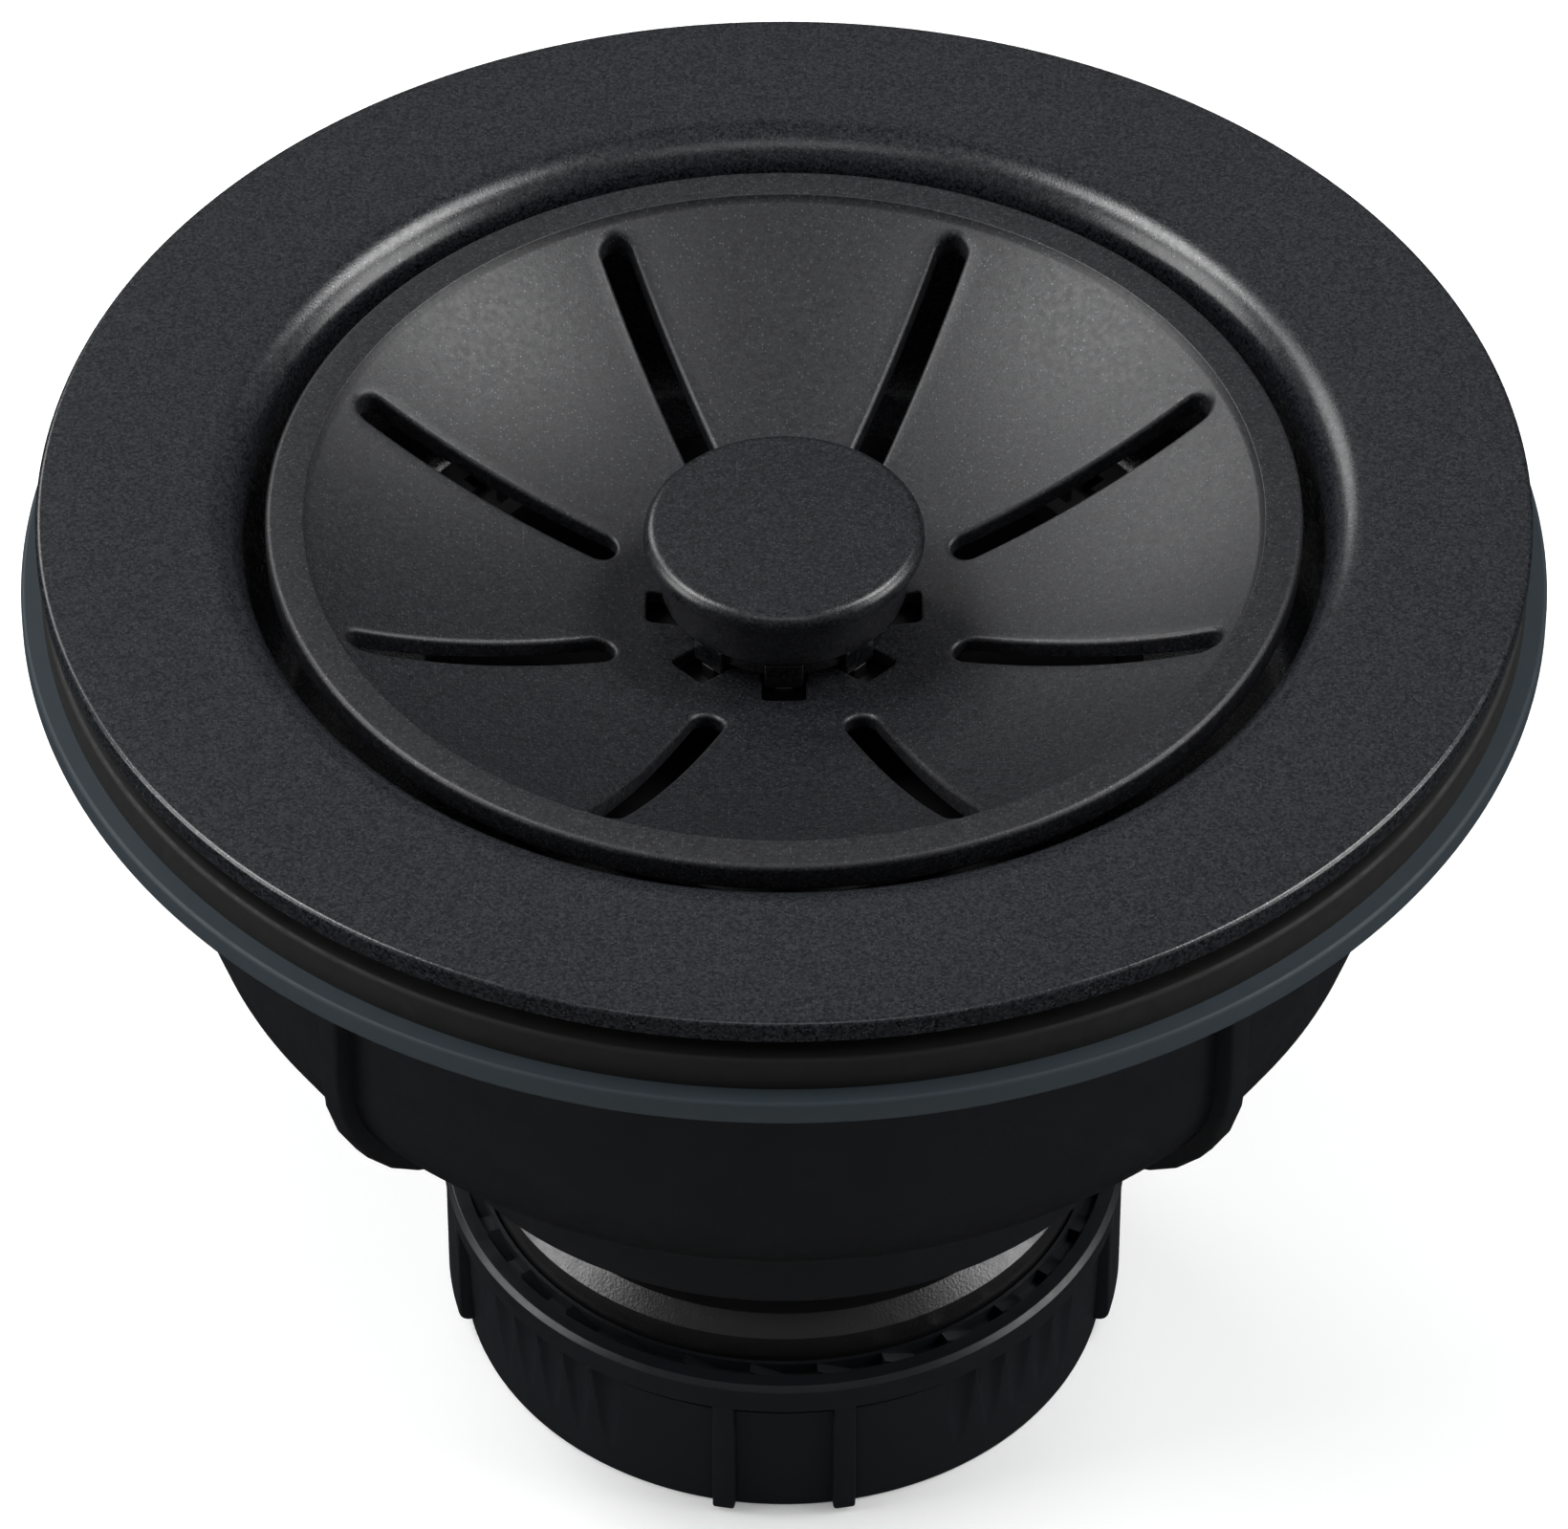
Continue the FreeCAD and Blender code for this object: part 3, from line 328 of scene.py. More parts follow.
def outline_points(corners):
    """Points of an outline. A corner is (radius, depth) or (radius, depth, rounding)."""
    points = []
    for index, corner in enumerate(corners):
        if len(corner) == 2:
            points.append(Vector(corner))
            continue
        before = corners[index - 1][:2]
        after = corners[(index + 1) % len(corners)][:2]
        points += rounded_corner(before, corner[:2], after, corner[2])
    return points


def spot(radius, angle, depth):
    """A place in the frame, from a radius and a depth in millimetres and an angle."""
    across = radius * MM
    return Vector((across * math.cos(angle), across * math.sin(angle), FLANGE_TOP - depth * MM))


def bridge(work, ring, following, closed=True):
    """Fill the band between two rings of vertices. A ring of one vertex is a point on the axis."""
    longest = max(len(ring), len(following))
    if longest == 1:
        return
    for step in range(longest if closed else longest - 1):
        after = (step + 1) % longest
        loop = [ring[step % len(ring)], ring[after % len(ring)],
                following[after % len(following)], following[step % len(following)]]
        work.faces.new(list(dict.fromkeys(loop)))


def add_turned(work, corners, steps=TURNING_STEPS, carve=None, start=0.0, sweep=360.0, closed=True):
    """Turn an outline round the axis. carve(radius, depth, angle) can change each point's radius,
    a sweep under 360 degrees makes a band with two ends, and an outline can be left open."""
    whole = sweep == 360.0
    rings = []
    for radius, depth in outline_points(corners):
        if radius < ON_AXIS:
            rings.append([work.verts.new(spot(0, 0, depth))])
            continue
        angles = [
            math.radians(start + sweep * step / steps)
            for step in range(steps if whole else steps + 1)
        ]
        rings.append([
            work.verts.new(spot(carve(radius, depth, angle) if carve else radius, angle, depth))
            for angle in angles
        ])
    for index in range(len(rings) if closed else len(rings) - 1):
        bridge(work, rings[index], rings[(index + 1) % len(rings)], whole)
    if not whole:
        work.faces.new([ring[0] for ring in rings])
        work.faces.new([ring[-1] for ring in rings])


def add_solid(work, solid, rounding=0.0):
    """Round the sharp edges of a small solid and add it to the work."""
    bmesh.ops.recalc_face_normals(solid, faces=solid.faces)
    if rounding:
        limit = math.radians(BEVEL_FROM_DEGREES)
        sharp = [edge for edge in solid.edges if edge.calc_face_angle(0) > limit]
        bmesh.ops.bevel(
            solid, geom=sharp, offset=rounding * MM, segments=BEVEL_STEPS, profile=0.5, affect="EDGES")
    mesh = bpy.data.meshes.new("solid")
    solid.to_mesh(mesh)
    solid.free()
    work.from_mesh(mesh)
    bpy.data.meshes.remove(mesh)


def add_slab(work, corners, thickness, turn, rounding):
    """A flat plate that stands in a radial plane, cut to an outline of (radius, depth) corners."""
    solid = bmesh.new()
    angle = math.radians(turn)
    sideways = Vector((-math.sin(angle), math.cos(angle), 0)) * (thickness / 2 * MM)
    points = [spot(radius, angle, depth) for radius, depth in outline_points(corners)]
    near = [solid.verts.new(point - sideways) for point in points]
    far = [solid.verts.new(point + sideways) for point in points]
    solid.faces.new(near)
    solid.faces.new(far)
    bridge(solid, near, far)
    add_solid(work, solid, rounding)


def add_band(work, corners, turn, sweep, steps, rounding):
    """An outline turned through a few degrees, with its edges rounded."""
    solid = bmesh.new()
    add_turned(solid, corners, steps, start=turn - sweep / 2, sweep=sweep)
    add_solid(work, solid, rounding)


def show(work, name, node, sharp_degrees=32):
    """Finish a piece, show it in place of its CAD node and give it the node's material."""
    bmesh.ops.recalc_face_normals(work, faces=work.faces)
    mesh = bpy.data.meshes.new(name)
    work.to_mesh(mesh)
    work.free()
    mesh.polygons.foreach_set("use_smooth", [True] * len(mesh.polygons))
    mesh.set_sharp_from_angle(angle=math.radians(sharp_degrees))
    mesh.materials.append(MATERIALS[SLOT_OF[node]])
    piece = bpy.data.objects.new(name, mesh)
    bpy.context.scene.collection.objects.link(piece)
    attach(piece, BODY_OF[node])
    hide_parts(node)


def show_turned(name, node, corners):
    work = bmesh.new()
    add_turned(work, corners)
    show(work, name, node)


# --- Sink flange and gasket -------------------------------------------------------------------

SKIN = 1.2
WELL_RADIUS = 41.4
WELL_ROLL = 3.6
WELL_CORNER = 3.0
WELL_DEPTH = 24.0
THROAT_RADIUS = 24.0
FLANGE_RADIUS = 57.15
FLANGE_EDGE = 1.9
FLANGE_ROUNDING = 0.45
GASKET_INNER = 45.2
GASKET_RADIUS = 57.0
GASKET_TOP = 3.9
GASKET_BASE = 6.8


def make_flange():
    show_turned("flange", "sink_flange", [
        (THROAT_RADIUS, WELL_DEPTH),
        (WELL_RADIUS, WELL_DEPTH, WELL_CORNER),
        (WELL_RADIUS, 0, WELL_ROLL),
        (FLANGE_RADIUS, 0, FLANGE_ROUNDING),
        (FLANGE_RADIUS, FLANGE_EDGE, FINE_EDGE),
        (FLANGE_RADIUS - SKIN, FLANGE_EDGE, FINE_EDGE),
        (FLANGE_RADIUS - SKIN, SKIN),
        (WELL_RADIUS + SKIN, SKIN, WELL_ROLL - SKIN),
        (WELL_RADIUS + SKIN, WELL_DEPTH + SKIN, WELL_CORNER + SKIN),
        (THROAT_RADIUS, WELL_DEPTH + SKIN),
    ])


def make_gasket():
    show_turned("gasket", "clamping_gasket", [
        (GASKET_INNER, GASKET_TOP),
        (GASKET_RADIUS, GASKET_TOP, SOFT_EDGE),
        (GASKET_RADIUS, GASKET_BASE),
        (GASKET_INNER, GASKET_BASE),
    ])


# --- Bowl -------------------------------------------------------------------------------------

CROSS_TURNS = (45, 135, 225, 315)
BOWL_FLANGE_RADIUS = 58.6
BOWL_FLANGE_BASE = 8.9
BOWL_FLANGE_FILLET = 0.8
BOWL_RADIUS = 47.3
BOWL_BASE = 43.2
BOWL_CORNER = 13.3
BOWL_WALL = 2.5
INNER_ROUNDING = 1.0
COLLAR_RADIUS = 31.2
COLLAR_BASE = 57.0
COLLAR_FILLET = 0.6
COLLAR_CORNER = 2.0
NECK_RADIUS = 20.0
NECK_BORE = 17.5
NECK_BASE = 77.3
GROOVE_RADIUS = 19.2
GROOVE_TOP = 75.5
GROOVE_BASE = 76.5
FIN_RADIUS = 48.9
FIN_BASE = 47.0
FIN_CORNER = 18.2
FIN_WIDTH = 2.0
FIN_ROUNDING = 0.35
TOWER_CIRCLE = 33.5
TOWER_RADIUS = 4.5
TOWER_BORE = 2.9
TOWER_TOP = 26.4
TOWER_BORE_BASE = 38.0


def make_bowl():
    work = bmesh.new()
    inner_floor = BOWL_BASE - BOWL_WALL
    collar_floor = COLLAR_BASE - BOWL_WALL
    add_turned(work, [
        (BOWL_RADIUS - BOWL_WALL, GASKET_BASE),
        (BOWL_FLANGE_RADIUS, GASKET_BASE, MOULDED_EDGE),
        (BOWL_FLANGE_RADIUS, BOWL_FLANGE_BASE, MOULDED_EDGE),
        (BOWL_RADIUS, BOWL_FLANGE_BASE, BOWL_FLANGE_FILLET),
        (BOWL_RADIUS, BOWL_BASE, BOWL_CORNER),
        (COLLAR_RADIUS, BOWL_BASE, COLLAR_FILLET),
        (COLLAR_RADIUS, COLLAR_BASE, SOFT_EDGE),
        (NECK_RADIUS, COLLAR_BASE),
        (NECK_RADIUS, GROOVE_TOP),
        (GROOVE_RADIUS, GROOVE_TOP),
        (GROOVE_RADIUS, GROOVE_BASE),
        (NECK_RADIUS, GROOVE_BASE),
        (NECK_RADIUS, NECK_BASE, LIGHT_EDGE),
        (NECK_BORE, NECK_BASE, LIGHT_EDGE),
        (NECK_BORE, collar_floor, INNER_ROUNDING),
        (COLLAR_RADIUS - BOWL_WALL, collar_floor, COLLAR_CORNER),
        (COLLAR_RADIUS - BOWL_WALL, inner_floor, INNER_ROUNDING),
        (BOWL_RADIUS - BOWL_WALL, inner_floor, BOWL_CORNER - BOWL_WALL),
    ])
    for turn in CROSS_TURNS:
        add_fin(work, turn)
        add_tower(work, turn)
    show(work, "bowl", "drain_bowl")


def add_fin(work, turn):
    """A radial fin that follows the outside of the bowl from its flange to its collar."""
    inside = BOWL_WALL / 2
    root = BOWL_FLANGE_BASE - SUNK
    add_slab(work, [
        (BOWL_RADIUS - inside, root),
        (FIN_RADIUS, root),
        (FIN_RADIUS, FIN_BASE, FIN_CORNER),
        (COLLAR_RADIUS - SUNK, FIN_BASE),
        (COLLAR_RADIUS - SUNK, BOWL_BASE - inside),
        (BOWL_RADIUS - inside, BOWL_BASE - inside, BOWL_CORNER - inside),
    ], FIN_WIDTH, turn, FIN_ROUNDING)


def add_tower(work, turn):
    """A hollow post for one threaded insert, up from the floor of the bowl."""
    solid = bmesh.new()
    root = BOWL_BASE - BOWL_WALL / 2
    add_turned(solid, [
        (TOWER_BORE, TOWER_TOP),
        (TOWER_RADIUS, TOWER_TOP, LIGHT_EDGE),
        (TOWER_RADIUS, root),
        (0, root),
        (0, TOWER_BORE_BASE),
        (TOWER_BORE, TOWER_BORE_BASE),
    ], TOWER_STEPS)
    angle = math.radians(turn)
    across = TOWER_CIRCLE * MM
    outwards = (across * math.cos(angle), across * math.sin(angle), 0)
    bmesh.ops.translate(solid, verts=solid.verts, vec=outwards)
    add_solid(work, solid)


# --- Strainer plate ---------------------------------------------------------------------------

class Hole:
    """A bar-shaped hole that lies along X, and how finely its outline is cut."""

    def __init__(self, inner, outer, width, corner, arc_steps, long_steps, short_steps):
        self.inner = inner
        self.outer = outer
        self.half = width / 2
        self.corner = corner
        self.arc_steps = arc_steps
        self.long_steps = long_steps
        self.short_steps = short_steps

    def outline(self, grow):
        """Points round the hole grown by some millimetres, anticlockwise."""
        left, right = self.inner + self.corner, self.outer - self.corner
        side = self.half - self.corner
        reach = self.corner + grow
        turns = ((right, side), (left, side), (left, -side), (right, -side))
        points = []
        for index, centre in enumerate(turns):
            first = math.pi / 2 * index
            last = first + math.pi / 2
            for step in range(self.arc_steps):
                angle = first + (last - first) * step / self.arc_steps
                points.append(Vector(centre) + Vector((math.cos(angle), math.sin(angle))) * reach)
            outwards = Vector((math.cos(last), math.sin(last))) * reach
            start = Vector(centre) + outwards
            end = Vector(turns[(index + 1) % 4]) + outwards
            straight_steps = self.short_steps if index % 2 else self.long_steps
            points += [start.lerp(end, step / straight_steps) for step in range(straight_steps)]
        return points

    def sector_edge(self, inner, outer):
        """As many points round the edge of the hole's sector of the plate, in the same order."""
        half = math.radians(SECTOR / 2)
        sides = self.arc_steps + self.long_steps
        ends = self.arc_steps + self.short_steps
        polar = [(outer + (inner - outer) * step / sides, half) for step in range(sides)]
        polar += [(inner, half - half * 2 * step / ends) for step in range(ends)]
        polar += [(inner + (outer - inner) * step / sides, -half) for step in range(sides)]
        polar += [(outer, -half + half * 2 * step / ends) for step in range(ends)]
        points = [Vector((radius * math.cos(angle), radius * math.sin(angle))) for radius, angle in polar]
        behind = self.arc_steps // 2
        return points[-behind:] + points[:-behind]


SLOT_COUNT = 8
SECTOR = 360 / SLOT_COUNT
HUB_BORE = 4.0
DISH_RADIUS = 36.5
DISH_TOP = 1.78
DISH_DEPTH = 12.39
PLATE_SKIN = 1.2
PLATE_RADIUS = 39.7
PLATE_TOP = 1.2
PLATE_BASE = 3.6
PLATE_ROUNDING = 0.5
RIM_INNER = 36.8
ZONE_EDGES = (5.4, 12.6, 36.3)
SLOT = Hole(14.2, 35.75, 2.6, 1.3, arc_steps=24, long_steps=40, short_steps=0)
WINDOW = Hole(6.9, 10.6, 3.4, 0.45, arc_steps=16, long_steps=8, short_steps=8)
SLOT_LIP = 0.42
WINDOW_LIP = 0.2
LIP_STEPS = 5
FILL_STEPS = 10
WELD_DISTANCE = 1e-6


def dome_depth(radius, inner, outer):
    """Depth at a radius on an arc centred on the axis through two (radius, depth) points."""
    rise = outer[0] ** 2 + outer[1] ** 2 - inner[0] ** 2 - inner[1] ** 2
    centre = rise / (2 * (outer[1] - inner[1]))
    reach = math.hypot(inner[0], inner[1] - centre)
    return centre + math.sqrt(reach ** 2 - radius ** 2)


def dish_top(radius):
    return dome_depth(radius, (HUB_BORE, DISH_DEPTH), (DISH_RADIUS, DISH_TOP))


def dish_base(radius):
    return dome_depth(radius, (HUB_BORE, DISH_DEPTH + PLATE_SKIN), (RIM_INNER, PLATE_BASE))


def add_holed_zone(work, hole, lip, inner, outer, turn):
    """A zone of the dish with one hole in every sector. Each hole has a rounded lip."""
    layers = []
    for step in range(LIP_STEPS + 1):
        angle = math.pi / 2 * step / LIP_STEPS
        layers.append((hole.outline(lip * (1 - math.cos(angle))), lip * (1 - math.sin(angle))))
    lip_edge = layers[-1][0]
    zone_edge = hole.sector_edge(inner, outer)
    for step in range(1, FILL_STEPS + 1):
        share = step / FILL_STEPS
        layers.append(([start.lerp(end, share) for start, end in zip(lip_edge, zone_edge)], 0.0))
    for sector in range(SLOT_COUNT):
        heading = math.radians(turn + SECTOR * sector)
        tops, bases = [], []
        for points, drop in layers:
            polar = [(point.length, heading + math.atan2(point.y, point.x)) for point in points]
            tops.append([
                work.verts.new(spot(radius, angle, dish_top(radius) + drop))
                for radius, angle in polar
            ])
            bases.append([
                work.verts.new(spot(radius, angle, dish_base(radius)))
                for radius, angle in polar
            ])
        bridge(work, tops[0], bases[0])
        for index in range(len(layers) - 1):
            bridge(work, tops[index], tops[index + 1])
            bridge(work, bases[index], bases[index + 1])


def make_strainer_plate():
    work = bmesh.new()
    hub, middle, edge = ZONE_EDGES
    steps = SLOT_COUNT * (SLOT.arc_steps + SLOT.short_steps)
    add_holed_zone(work, SLOT, SLOT_LIP, middle, edge, SECTOR / 2)
    add_holed_zone(work, WINDOW, WINDOW_LIP, hub, middle, 0)
    add_turned(work, [
        (hub, dish_top(hub)),
        (HUB_BORE, DISH_DEPTH),
        (HUB_BORE, DISH_DEPTH + PLATE_SKIN),
        (hub, dish_base(hub)),
    ], steps, closed=False)
    add_turned(work, [
        (edge, dish_top(edge)),
        (DISH_RADIUS, DISH_TOP),
        (RIM_INNER, PLATE_TOP, CRISP_EDGE),
        (PLATE_RADIUS, PLATE_TOP, PLATE_ROUNDING),
        (PLATE_RADIUS, PLATE_BASE, SOFT_EDGE),
        (RIM_INNER, PLATE_BASE),
        (edge, dish_base(edge)),
    ], steps, closed=False)
    bmesh.ops.remove_doubles(work, verts=work.verts, dist=WELD_DISTANCE)
    show(work, "plate", "strainer_plate")


# --- Knob and latch ---------------------------------------------------------------------------

KNOB_RADIUS = 10.8
KNOB_TOP = 3.2
KNOB_CREASE = 4.85
KNOB_CREASE_RADIUS = 9.3
KNOB_CREASE_WIDTH = 0.22
KNOB_EDGE = 1.0
KNOB_COLLAR_TOP_RADIUS = 10.1
KNOB_COLLAR_LOW_RADIUS = 9.46
KNOB_COLLAR_BASE = 9.3
KNOB_CAVITY = 5.2
CROWN_BORE = 4.0
CROWN_RADIUS = 7.9
CROWN_BASE = 11.7
LEG_INNER = 7.1
LEG_OUTER = 8.3
LEG_WIDTH = 3.0
LEG_BASE = 12.6
LEG_ROUNDING = 0.15
LATCH_INNER = 7.0
LATCH_OUTER = 12.4
LATCH_TOP = 13.9
LATCH_BASE = 15.4
FINGER_INNER = 7.1
FINGER_OUTER = 8.3
FINGER_WIDTH = 1.4
FINGER_TOP = 12.6
FINGER_BASE = LATCH_BASE - 0.2
FINGER_ROUNDING = 0.12


def make_knob():
    show_turned("cap", "knob_cap", [
        (0, KNOB_TOP),
        (KNOB_RADIUS, KNOB_TOP, KNOB_EDGE),
        (KNOB_RADIUS, KNOB_CREASE, SOFT_EDGE),
        (0, KNOB_CREASE),
    ])
    show_turned("collar", "knob_collar", [
        (KNOB_CAVITY, KNOB_CREASE),
        (KNOB_CREASE_RADIUS, KNOB_CREASE),
        (KNOB_CREASE_RADIUS, KNOB_CREASE + KNOB_CREASE_WIDTH),
        (KNOB_COLLAR_TOP_RADIUS, KNOB_CREASE + KNOB_CREASE_WIDTH, CRISP_EDGE),
        (KNOB_COLLAR_LOW_RADIUS, KNOB_COLLAR_BASE, SOFT_EDGE),
        (KNOB_CAVITY, KNOB_COLLAR_BASE),
    ])


def make_crown():
    work = bmesh.new()
    add_turned(work, [
        (CROWN_BORE, KNOB_COLLAR_BASE),
        (CROWN_RADIUS, KNOB_COLLAR_BASE),
        (CROWN_RADIUS, CROWN_BASE, FINE_EDGE),
        (CROWN_BORE, CROWN_BASE),
    ], INNER_TURNING_STEPS)
    for leg in range(SLOT_COUNT):
        add_slab(work, [
            (LEG_INNER, KNOB_COLLAR_BASE + SUNK),
            (LEG_OUTER, KNOB_COLLAR_BASE + SUNK),
            (LEG_OUTER, LEG_BASE),
            (LEG_INNER, LEG_BASE),
        ], LEG_WIDTH, SECTOR * leg, LEG_ROUNDING)
    show(work, "crown", "knob_crown")


def make_latch():
    work = bmesh.new()
    add_turned(work, [
        (LATCH_INNER, LATCH_TOP),
        (LATCH_OUTER, LATCH_TOP, FINE_EDGE),
        (LATCH_OUTER, LATCH_BASE, FINE_EDGE),
        (LATCH_INNER, LATCH_BASE),
    ], INNER_TURNING_STEPS)
    for finger in range(SLOT_COUNT):
        add_slab(work, [
            (FINGER_INNER, FINGER_TOP),
            (FINGER_OUTER, FINGER_TOP),
            (FINGER_OUTER, FINGER_BASE),
            (FINGER_INNER, FINGER_BASE),
        ], FINGER_WIDTH, SECTOR * finger, FINGER_ROUNDING)
    show(work, "latch", "latch_ring")


# --- Thrust ring and union nut ----------------------------------------------------------------

THRUST_RADIUS = 24.55
THRUST_HUB_RADIUS = 23.1
THRUST_HUB_TOP = 66.85
THRUST_EDGE = 68.3
THRUST_BASE = 72.5
NUT_RIM_RADIUS = 27.85
NUT_RIM_LOW_RADIUS = 27.5
NUT_TOP = 70.66
NUT_RIM_BASE = 73.7
NUT_CHAMFER = 0.45
NUT_GROOVE_RADIUS = 25.9
NUT_GROOVE_BASE = 74.6
NUT_WALL_RADIUS = 26.75
NUT_FOOT_RADIUS = 26.3
NUT_BASE = 86.1
NUT_CAVITY = 26.25
NUT_LIP_TOP = 72.9
NUT_LIP_BASE = 75.2
NUT_LIP_RADIUS = 20.4
RELIEF_RADIUS = 23.9
RELIEF_BASE = 79.4
THREAD_MINOR = 22.45
THREAD_MAJOR = 23.9
THREAD_PITCH = 2.309
THREAD_LAND = 0.45
THREAD_TURNS = 2
LEAD_IN = 0.8
LEAD_IN_RADIUS = 23.7
GRIP_SIDES = (90, 270)
GRIP_TOP = 73.2
GRIP_RIB_RADIUS = 27.4
GRIP_RIB_WIDTH = 1.8
GRIP_RIB_OFFSET = 4.9
GRIP_RIB_BASE = 85.7
WING_TURNS = (0, 180)
WING_RADIUS = 27.6
WING_ANGLE = 32.0
WING_BASE = 84.5
WING_CORNER = 1.0
FLUTE_CIRCLE = 27.6
FLUTE_LOW_RADIUS = 1.15
FLUTE_TOP_RADIUS = 1.75
FLUTE_COUNT = 5
FLUTE_STEP = 6.4
FLUTE_BASE = 83.6
FLUTE_GROUP_STEP = 90
GRIP_ROUNDING = 0.25
WALL_ROWS = 24
WING_STEPS = 32
NUT_STEPS = 900
NUT_SHARP_DEGREES = 25


def make_thrust_ring():
    show_turned("thrust", "thrust_ring", [
        (NECK_RADIUS, THRUST_HUB_TOP),
        (THRUST_HUB_RADIUS, THRUST_HUB_TOP, CRISP_EDGE),
        (THRUST_RADIUS, THRUST_EDGE, CRISP_EDGE),
        (THRUST_RADIUS, THRUST_BASE),
        (NECK_RADIUS, THRUST_BASE),
    ])


def carve_flutes(radius, depth, angle):
    """The nut's outer wall with four groups of flutes, which run out above its foot."""
    if radius < NUT_GROOVE_RADIUS or not NUT_RIM_BASE < depth < FLUTE_BASE:
        return radius
    aside = math.degrees(angle) % FLUTE_GROUP_STEP - FLUTE_GROUP_STEP / 2
    limit = (FLUTE_COUNT - 1) // 2
    nearest = max(-limit, min(limit, round(aside / FLUTE_STEP)))
    offset = math.radians(aside - nearest * FLUTE_STEP)
    share = (FLUTE_BASE - depth) / (FLUTE_BASE - NUT_RIM_BASE)
    flute = FLUTE_LOW_RADIUS + (FLUTE_TOP_RADIUS - FLUTE_LOW_RADIUS) * share
    sideways = FLUTE_CIRCLE * math.sin(offset)
    if abs(sideways) >= flute:
        return radius
    return min(radius, FLUTE_CIRCLE * math.cos(offset) - math.sqrt(flute ** 2 - sideways ** 2))


def thread_corners():
    """The thread inside the nut as rings, from its lower end up."""
    flank = (THREAD_PITCH - THREAD_LAND * 2) / 2
    start = RELIEF_BASE + THREAD_PITCH * THREAD_TURNS + THREAD_LAND * 2 + flank
    corners = []
    for turn in range(THREAD_TURNS):
        foot = start - THREAD_PITCH * turn - THREAD_LAND
        corners += [
            (THREAD_MINOR, foot),
            (THREAD_MAJOR, foot - flank),
            (THREAD_MAJOR, foot - flank - THREAD_LAND),
            (THREAD_MINOR, foot - flank * 2 - THREAD_LAND),
        ]
    return corners


def make_union_nut():
    work = bmesh.new()
    wall_top = Vector((NUT_WALL_RADIUS, NUT_GROOVE_BASE))
    wall_foot = Vector((NUT_FOOT_RADIUS, NUT_BASE))
    wall = [tuple(wall_top.lerp(wall_foot, row / WALL_ROWS)) for row in range(1, WALL_ROWS)]
    add_turned(work, [
        (NUT_CAVITY, NUT_TOP),
        (NUT_RIM_RADIUS - NUT_CHAMFER, NUT_TOP, CRISP_EDGE),
        (NUT_RIM_RADIUS, NUT_TOP + NUT_CHAMFER, CRISP_EDGE),
        (NUT_RIM_LOW_RADIUS, NUT_RIM_BASE, CRISP_EDGE),
        (NUT_GROOVE_RADIUS, NUT_RIM_BASE),
        (NUT_GROOVE_RADIUS, NUT_GROOVE_BASE),
        (NUT_WALL_RADIUS, NUT_GROOVE_BASE),
        *wall,
        (NUT_FOOT_RADIUS, NUT_BASE, MOULDED_EDGE),
        (LEAD_IN_RADIUS, NUT_BASE),
        (THREAD_MINOR, NUT_BASE - LEAD_IN),
        *thread_corners(),
        (THREAD_MINOR, RELIEF_BASE),
        (RELIEF_RADIUS, RELIEF_BASE),
        (RELIEF_RADIUS, NUT_LIP_BASE),
        (NUT_LIP_RADIUS, NUT_LIP_BASE),
        (NUT_LIP_RADIUS, NUT_LIP_TOP),
        (NUT_CAVITY, NUT_LIP_TOP),
    ], NUT_STEPS, carve_flutes)
    spread = math.degrees(math.asin(GRIP_RIB_OFFSET / GRIP_RIB_RADIUS))
    inside = NUT_GROOVE_RADIUS - SUNK
    for side in GRIP_SIDES:
        for turn in (side - spread, side + spread):
            add_slab(work, [
                (inside, GRIP_TOP),
                (GRIP_RIB_RADIUS, GRIP_TOP),
                (GRIP_RIB_RADIUS, GRIP_RIB_BASE),
                (inside, GRIP_RIB_BASE),
            ], GRIP_RIB_WIDTH, turn, GRIP_ROUNDING)
    for turn in WING_TURNS:
        add_band(work, [
            (inside, GRIP_TOP),
            (WING_RADIUS, GRIP_TOP),
            (WING_RADIUS, WING_BASE, WING_CORNER),
            (inside, WING_BASE),
        ], turn, WING_ANGLE, WING_STEPS, GRIP_ROUNDING)
    show(work, "nut", "union_nut", NUT_SHARP_DEGREES)


# --- Floor, lights and camera -----------------------------------------------------------------

CAMERA_DISTANCE = 0.750
CAMERA_ELEVATION = math.radians(43.65)
CAMERA_AIM_DEPTH = 28.6
SENSOR_WIDTH = 36.0
LENS_OVER_SENSOR = 6.0971
FLOOR_REACH = 6.0
FLOOR_GLOW = 0.14
SKY_COLOUR = (0.97, 0.98, 1.0, 1)
SKY_LOW = -0.1
SKY_HIGH = 0.4
SKY_LOW_GLOW = 0.02
SKY_HIGH_GLOW = 0.14
LIGHT_DISTANCE = 0.9
PAIRED_SOFTBOXES = (
    ("high_softbox", (0.58, 0.14, 0.80), 0.36, 0.34, 12.5),
    ("side_softbox", (0.93, -0.08, 0.36), 0.46, 0.50, 6.0),
)
SINGLE_SOFTBOXES = (
    ("back_softbox", (-0.16, 0.72, 0.69), 0.90, 0.42, 0.22),
    ("left_back_softbox", (-0.55, 0.62, 0.48), 0.36, 0.34, 5.0),
    ("front_softbox", (0, -0.50, 0.87), 0.60, 0.30, 1.6),
)


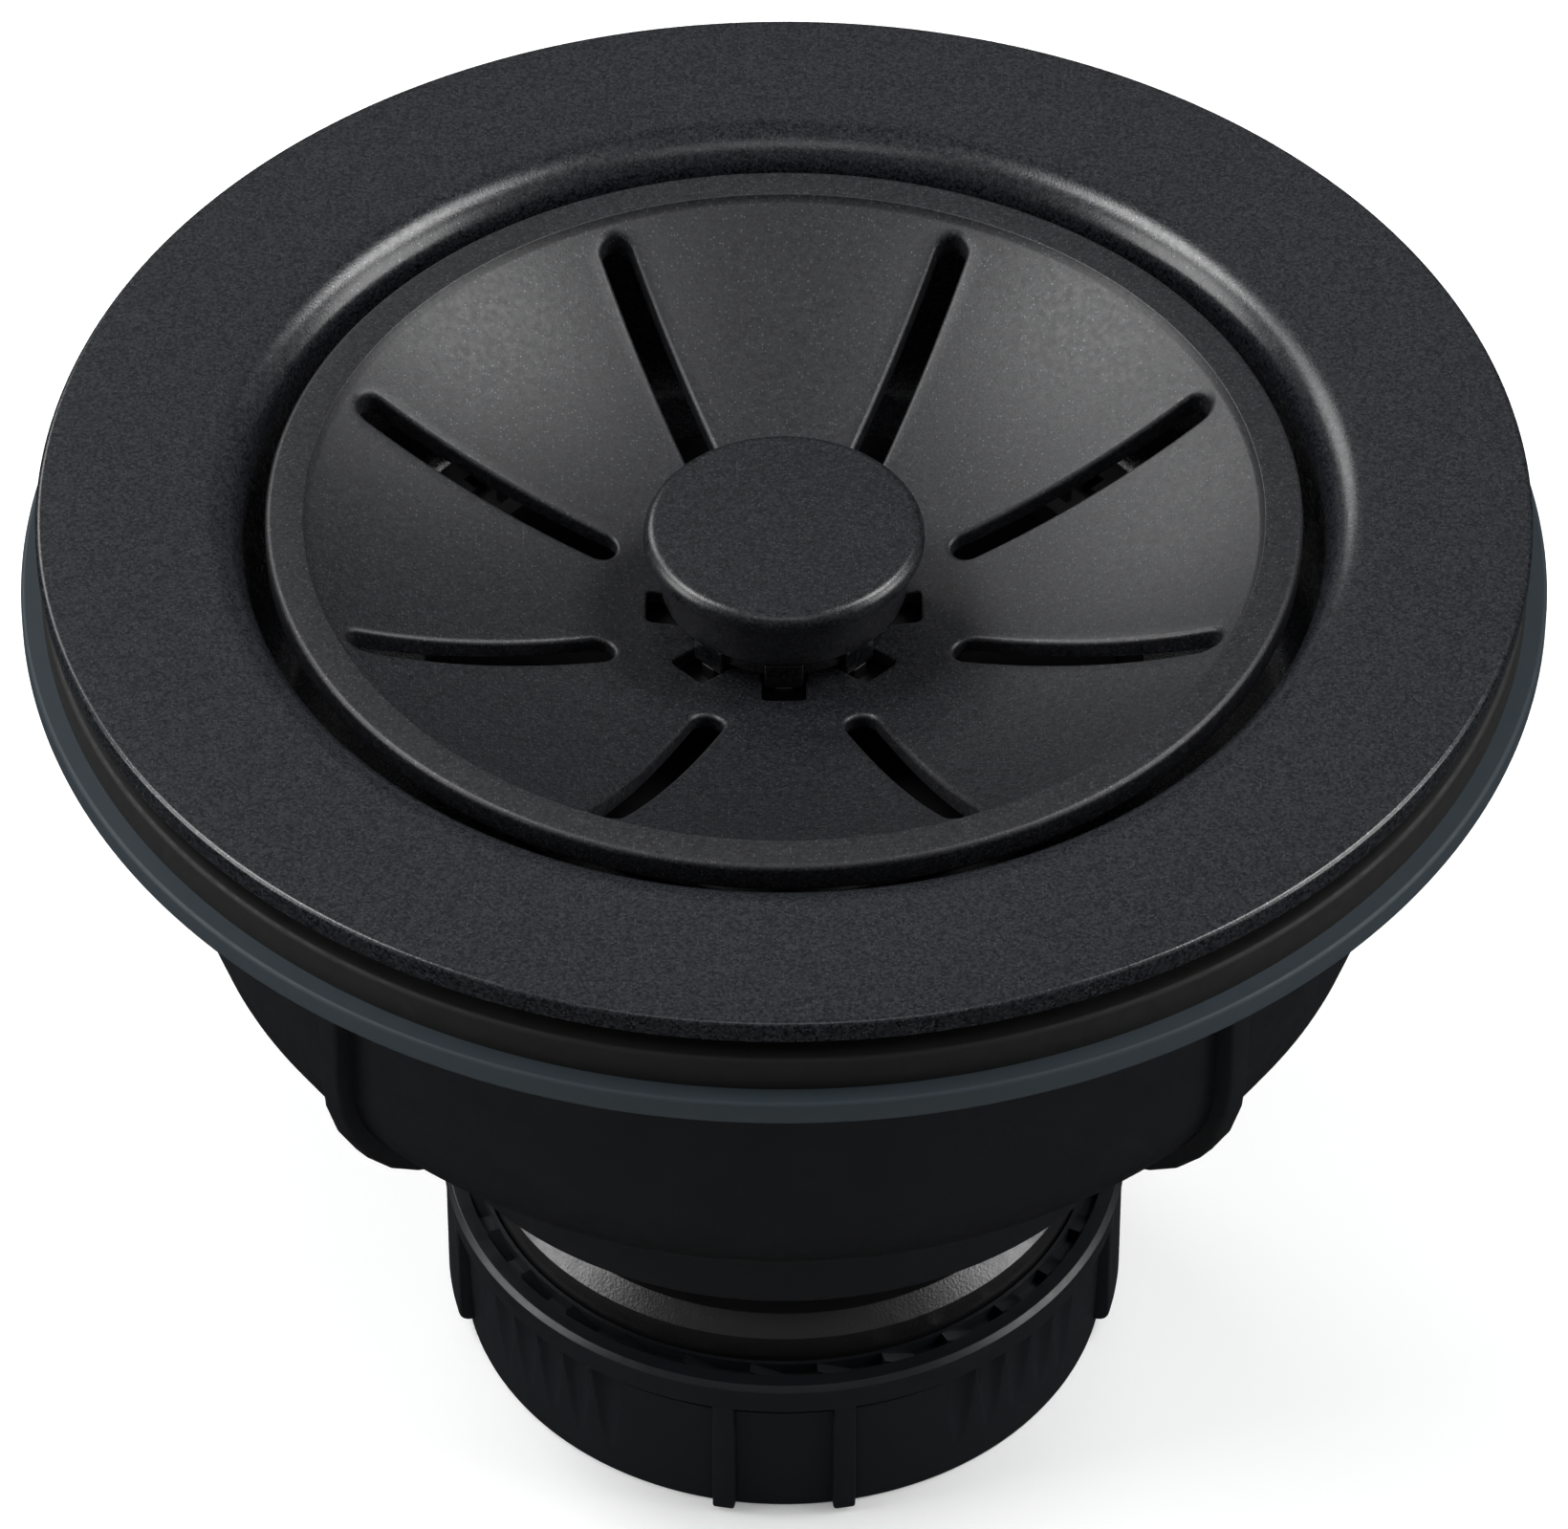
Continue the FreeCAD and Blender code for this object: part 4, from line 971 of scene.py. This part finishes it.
def make_floor():
    """A white ground that the drain stands on. The drain's own surfaces don't mirror it."""
    mesh = bpy.data.meshes.new("floor")
    sides = ((-1, -1), (1, -1), (1, 1), (-1, 1))
    corners = [(x * FLOOR_REACH, y * FLOOR_REACH, FLOOR_HEIGHT) for x, y in sides]
    mesh.from_pydata(corners, [], [(0, 1, 2, 3)])
    floor = bpy.data.objects.new("floor", mesh)
    bpy.context.scene.collection.objects.link(floor)
    nodes = Nodes("PaleFloor")
    nodes.set(
        Base_Color=nodes.mix(nodes.noise(400.0), (0.93, 0.93, 0.93), (0.95, 0.95, 0.95)),
        Roughness=0.9,
        Specular_IOR_Level=0.0,
        Emission_Color=(1, 1, 1, 1),
        Emission_Strength=FLOOR_GLOW,
    )
    mesh.materials.append(nodes.material)
    floor.visible_glossy = False


def make_softbox(name, direction, width, height, radiance):
    """A rectangular light that faces the drain. Radiance is how bright its face looks."""
    light = bpy.data.lights.new(name, "AREA")
    light.shape = "RECTANGLE"
    light.size = width
    light.size_y = height
    light.energy = radiance * math.pi * width * height
    lamp = bpy.data.objects.new(name, light)
    aim = Vector((0, 0, FLANGE_TOP))
    lamp.location = aim + Vector(direction).normalized() * LIGHT_DISTANCE
    lamp.rotation_euler = (aim - lamp.location).to_track_quat("-Z", "Y").to_euler()
    bpy.context.scene.collection.objects.link(lamp)


def make_sky():
    """Soft light from all round, which grows from the horizon up."""
    world = bpy.data.worlds.new("Studio")
    bpy.context.scene.world = world
    world.use_nodes = True
    tree = world.node_tree
    background = tree.nodes["Background"]
    background.inputs["Color"].default_value = SKY_COLOUR
    around = tree.nodes.new("ShaderNodeTexCoord")
    height = tree.nodes.new("ShaderNodeSeparateXYZ")
    fade = tree.nodes.new("ShaderNodeMapRange")
    fade.inputs["From Min"].default_value = SKY_LOW
    fade.inputs["From Max"].default_value = SKY_HIGH
    fade.inputs["To Min"].default_value = SKY_LOW_GLOW
    fade.inputs["To Max"].default_value = SKY_HIGH_GLOW
    tree.links.new(around.outputs["Generated"], height.inputs["Vector"])
    tree.links.new(height.outputs["Z"], fade.inputs["Value"])
    tree.links.new(fade.outputs["Result"], background.inputs["Strength"])


def make_studio():
    make_sky()
    for side in (-1, 1):
        for name, (x, y, z), width, height, radiance in PAIRED_SOFTBOXES:
            make_softbox(name, (side * x, y, z), width, height, radiance)
    for name, direction, width, height, radiance in SINGLE_SOFTBOXES:
        make_softbox(name, direction, width, height, radiance)
    bpy.context.scene.view_settings.view_transform = "Standard"


def make_camera():
    """The camera looks down on the front of the drain, which fills the picture."""
    aim = Vector((0, 0, FLANGE_TOP - CAMERA_AIM_DEPTH * MM))
    lens = bpy.data.cameras.new("camera")
    lens.sensor_width = SENSOR_WIDTH
    lens.lens = LENS_OVER_SENSOR * SENSOR_WIDTH
    lens.clip_start = 0.01
    lens.clip_end = 50
    camera = bpy.data.objects.new("camera", lens)
    back = Vector((0, -math.cos(CAMERA_ELEVATION), math.sin(CAMERA_ELEVATION)))
    camera.location = aim + back * CAMERA_DISTANCE
    camera.rotation_euler = (-back).to_track_quat("-Z", "Y").to_euler()
    bpy.context.scene.collection.objects.link(camera)
    bpy.context.scene.camera = camera


for node, piece in frame["nodes"].items():
    piece.data.materials.clear()
    piece.data.materials.append(MATERIALS[SLOT_OF[node]])

make_flange()
make_gasket()
make_bowl()
make_strainer_plate()
make_knob()
make_crown()
make_latch()
make_thrust_ring()
make_union_nut()
make_floor()
make_studio()
make_camera()
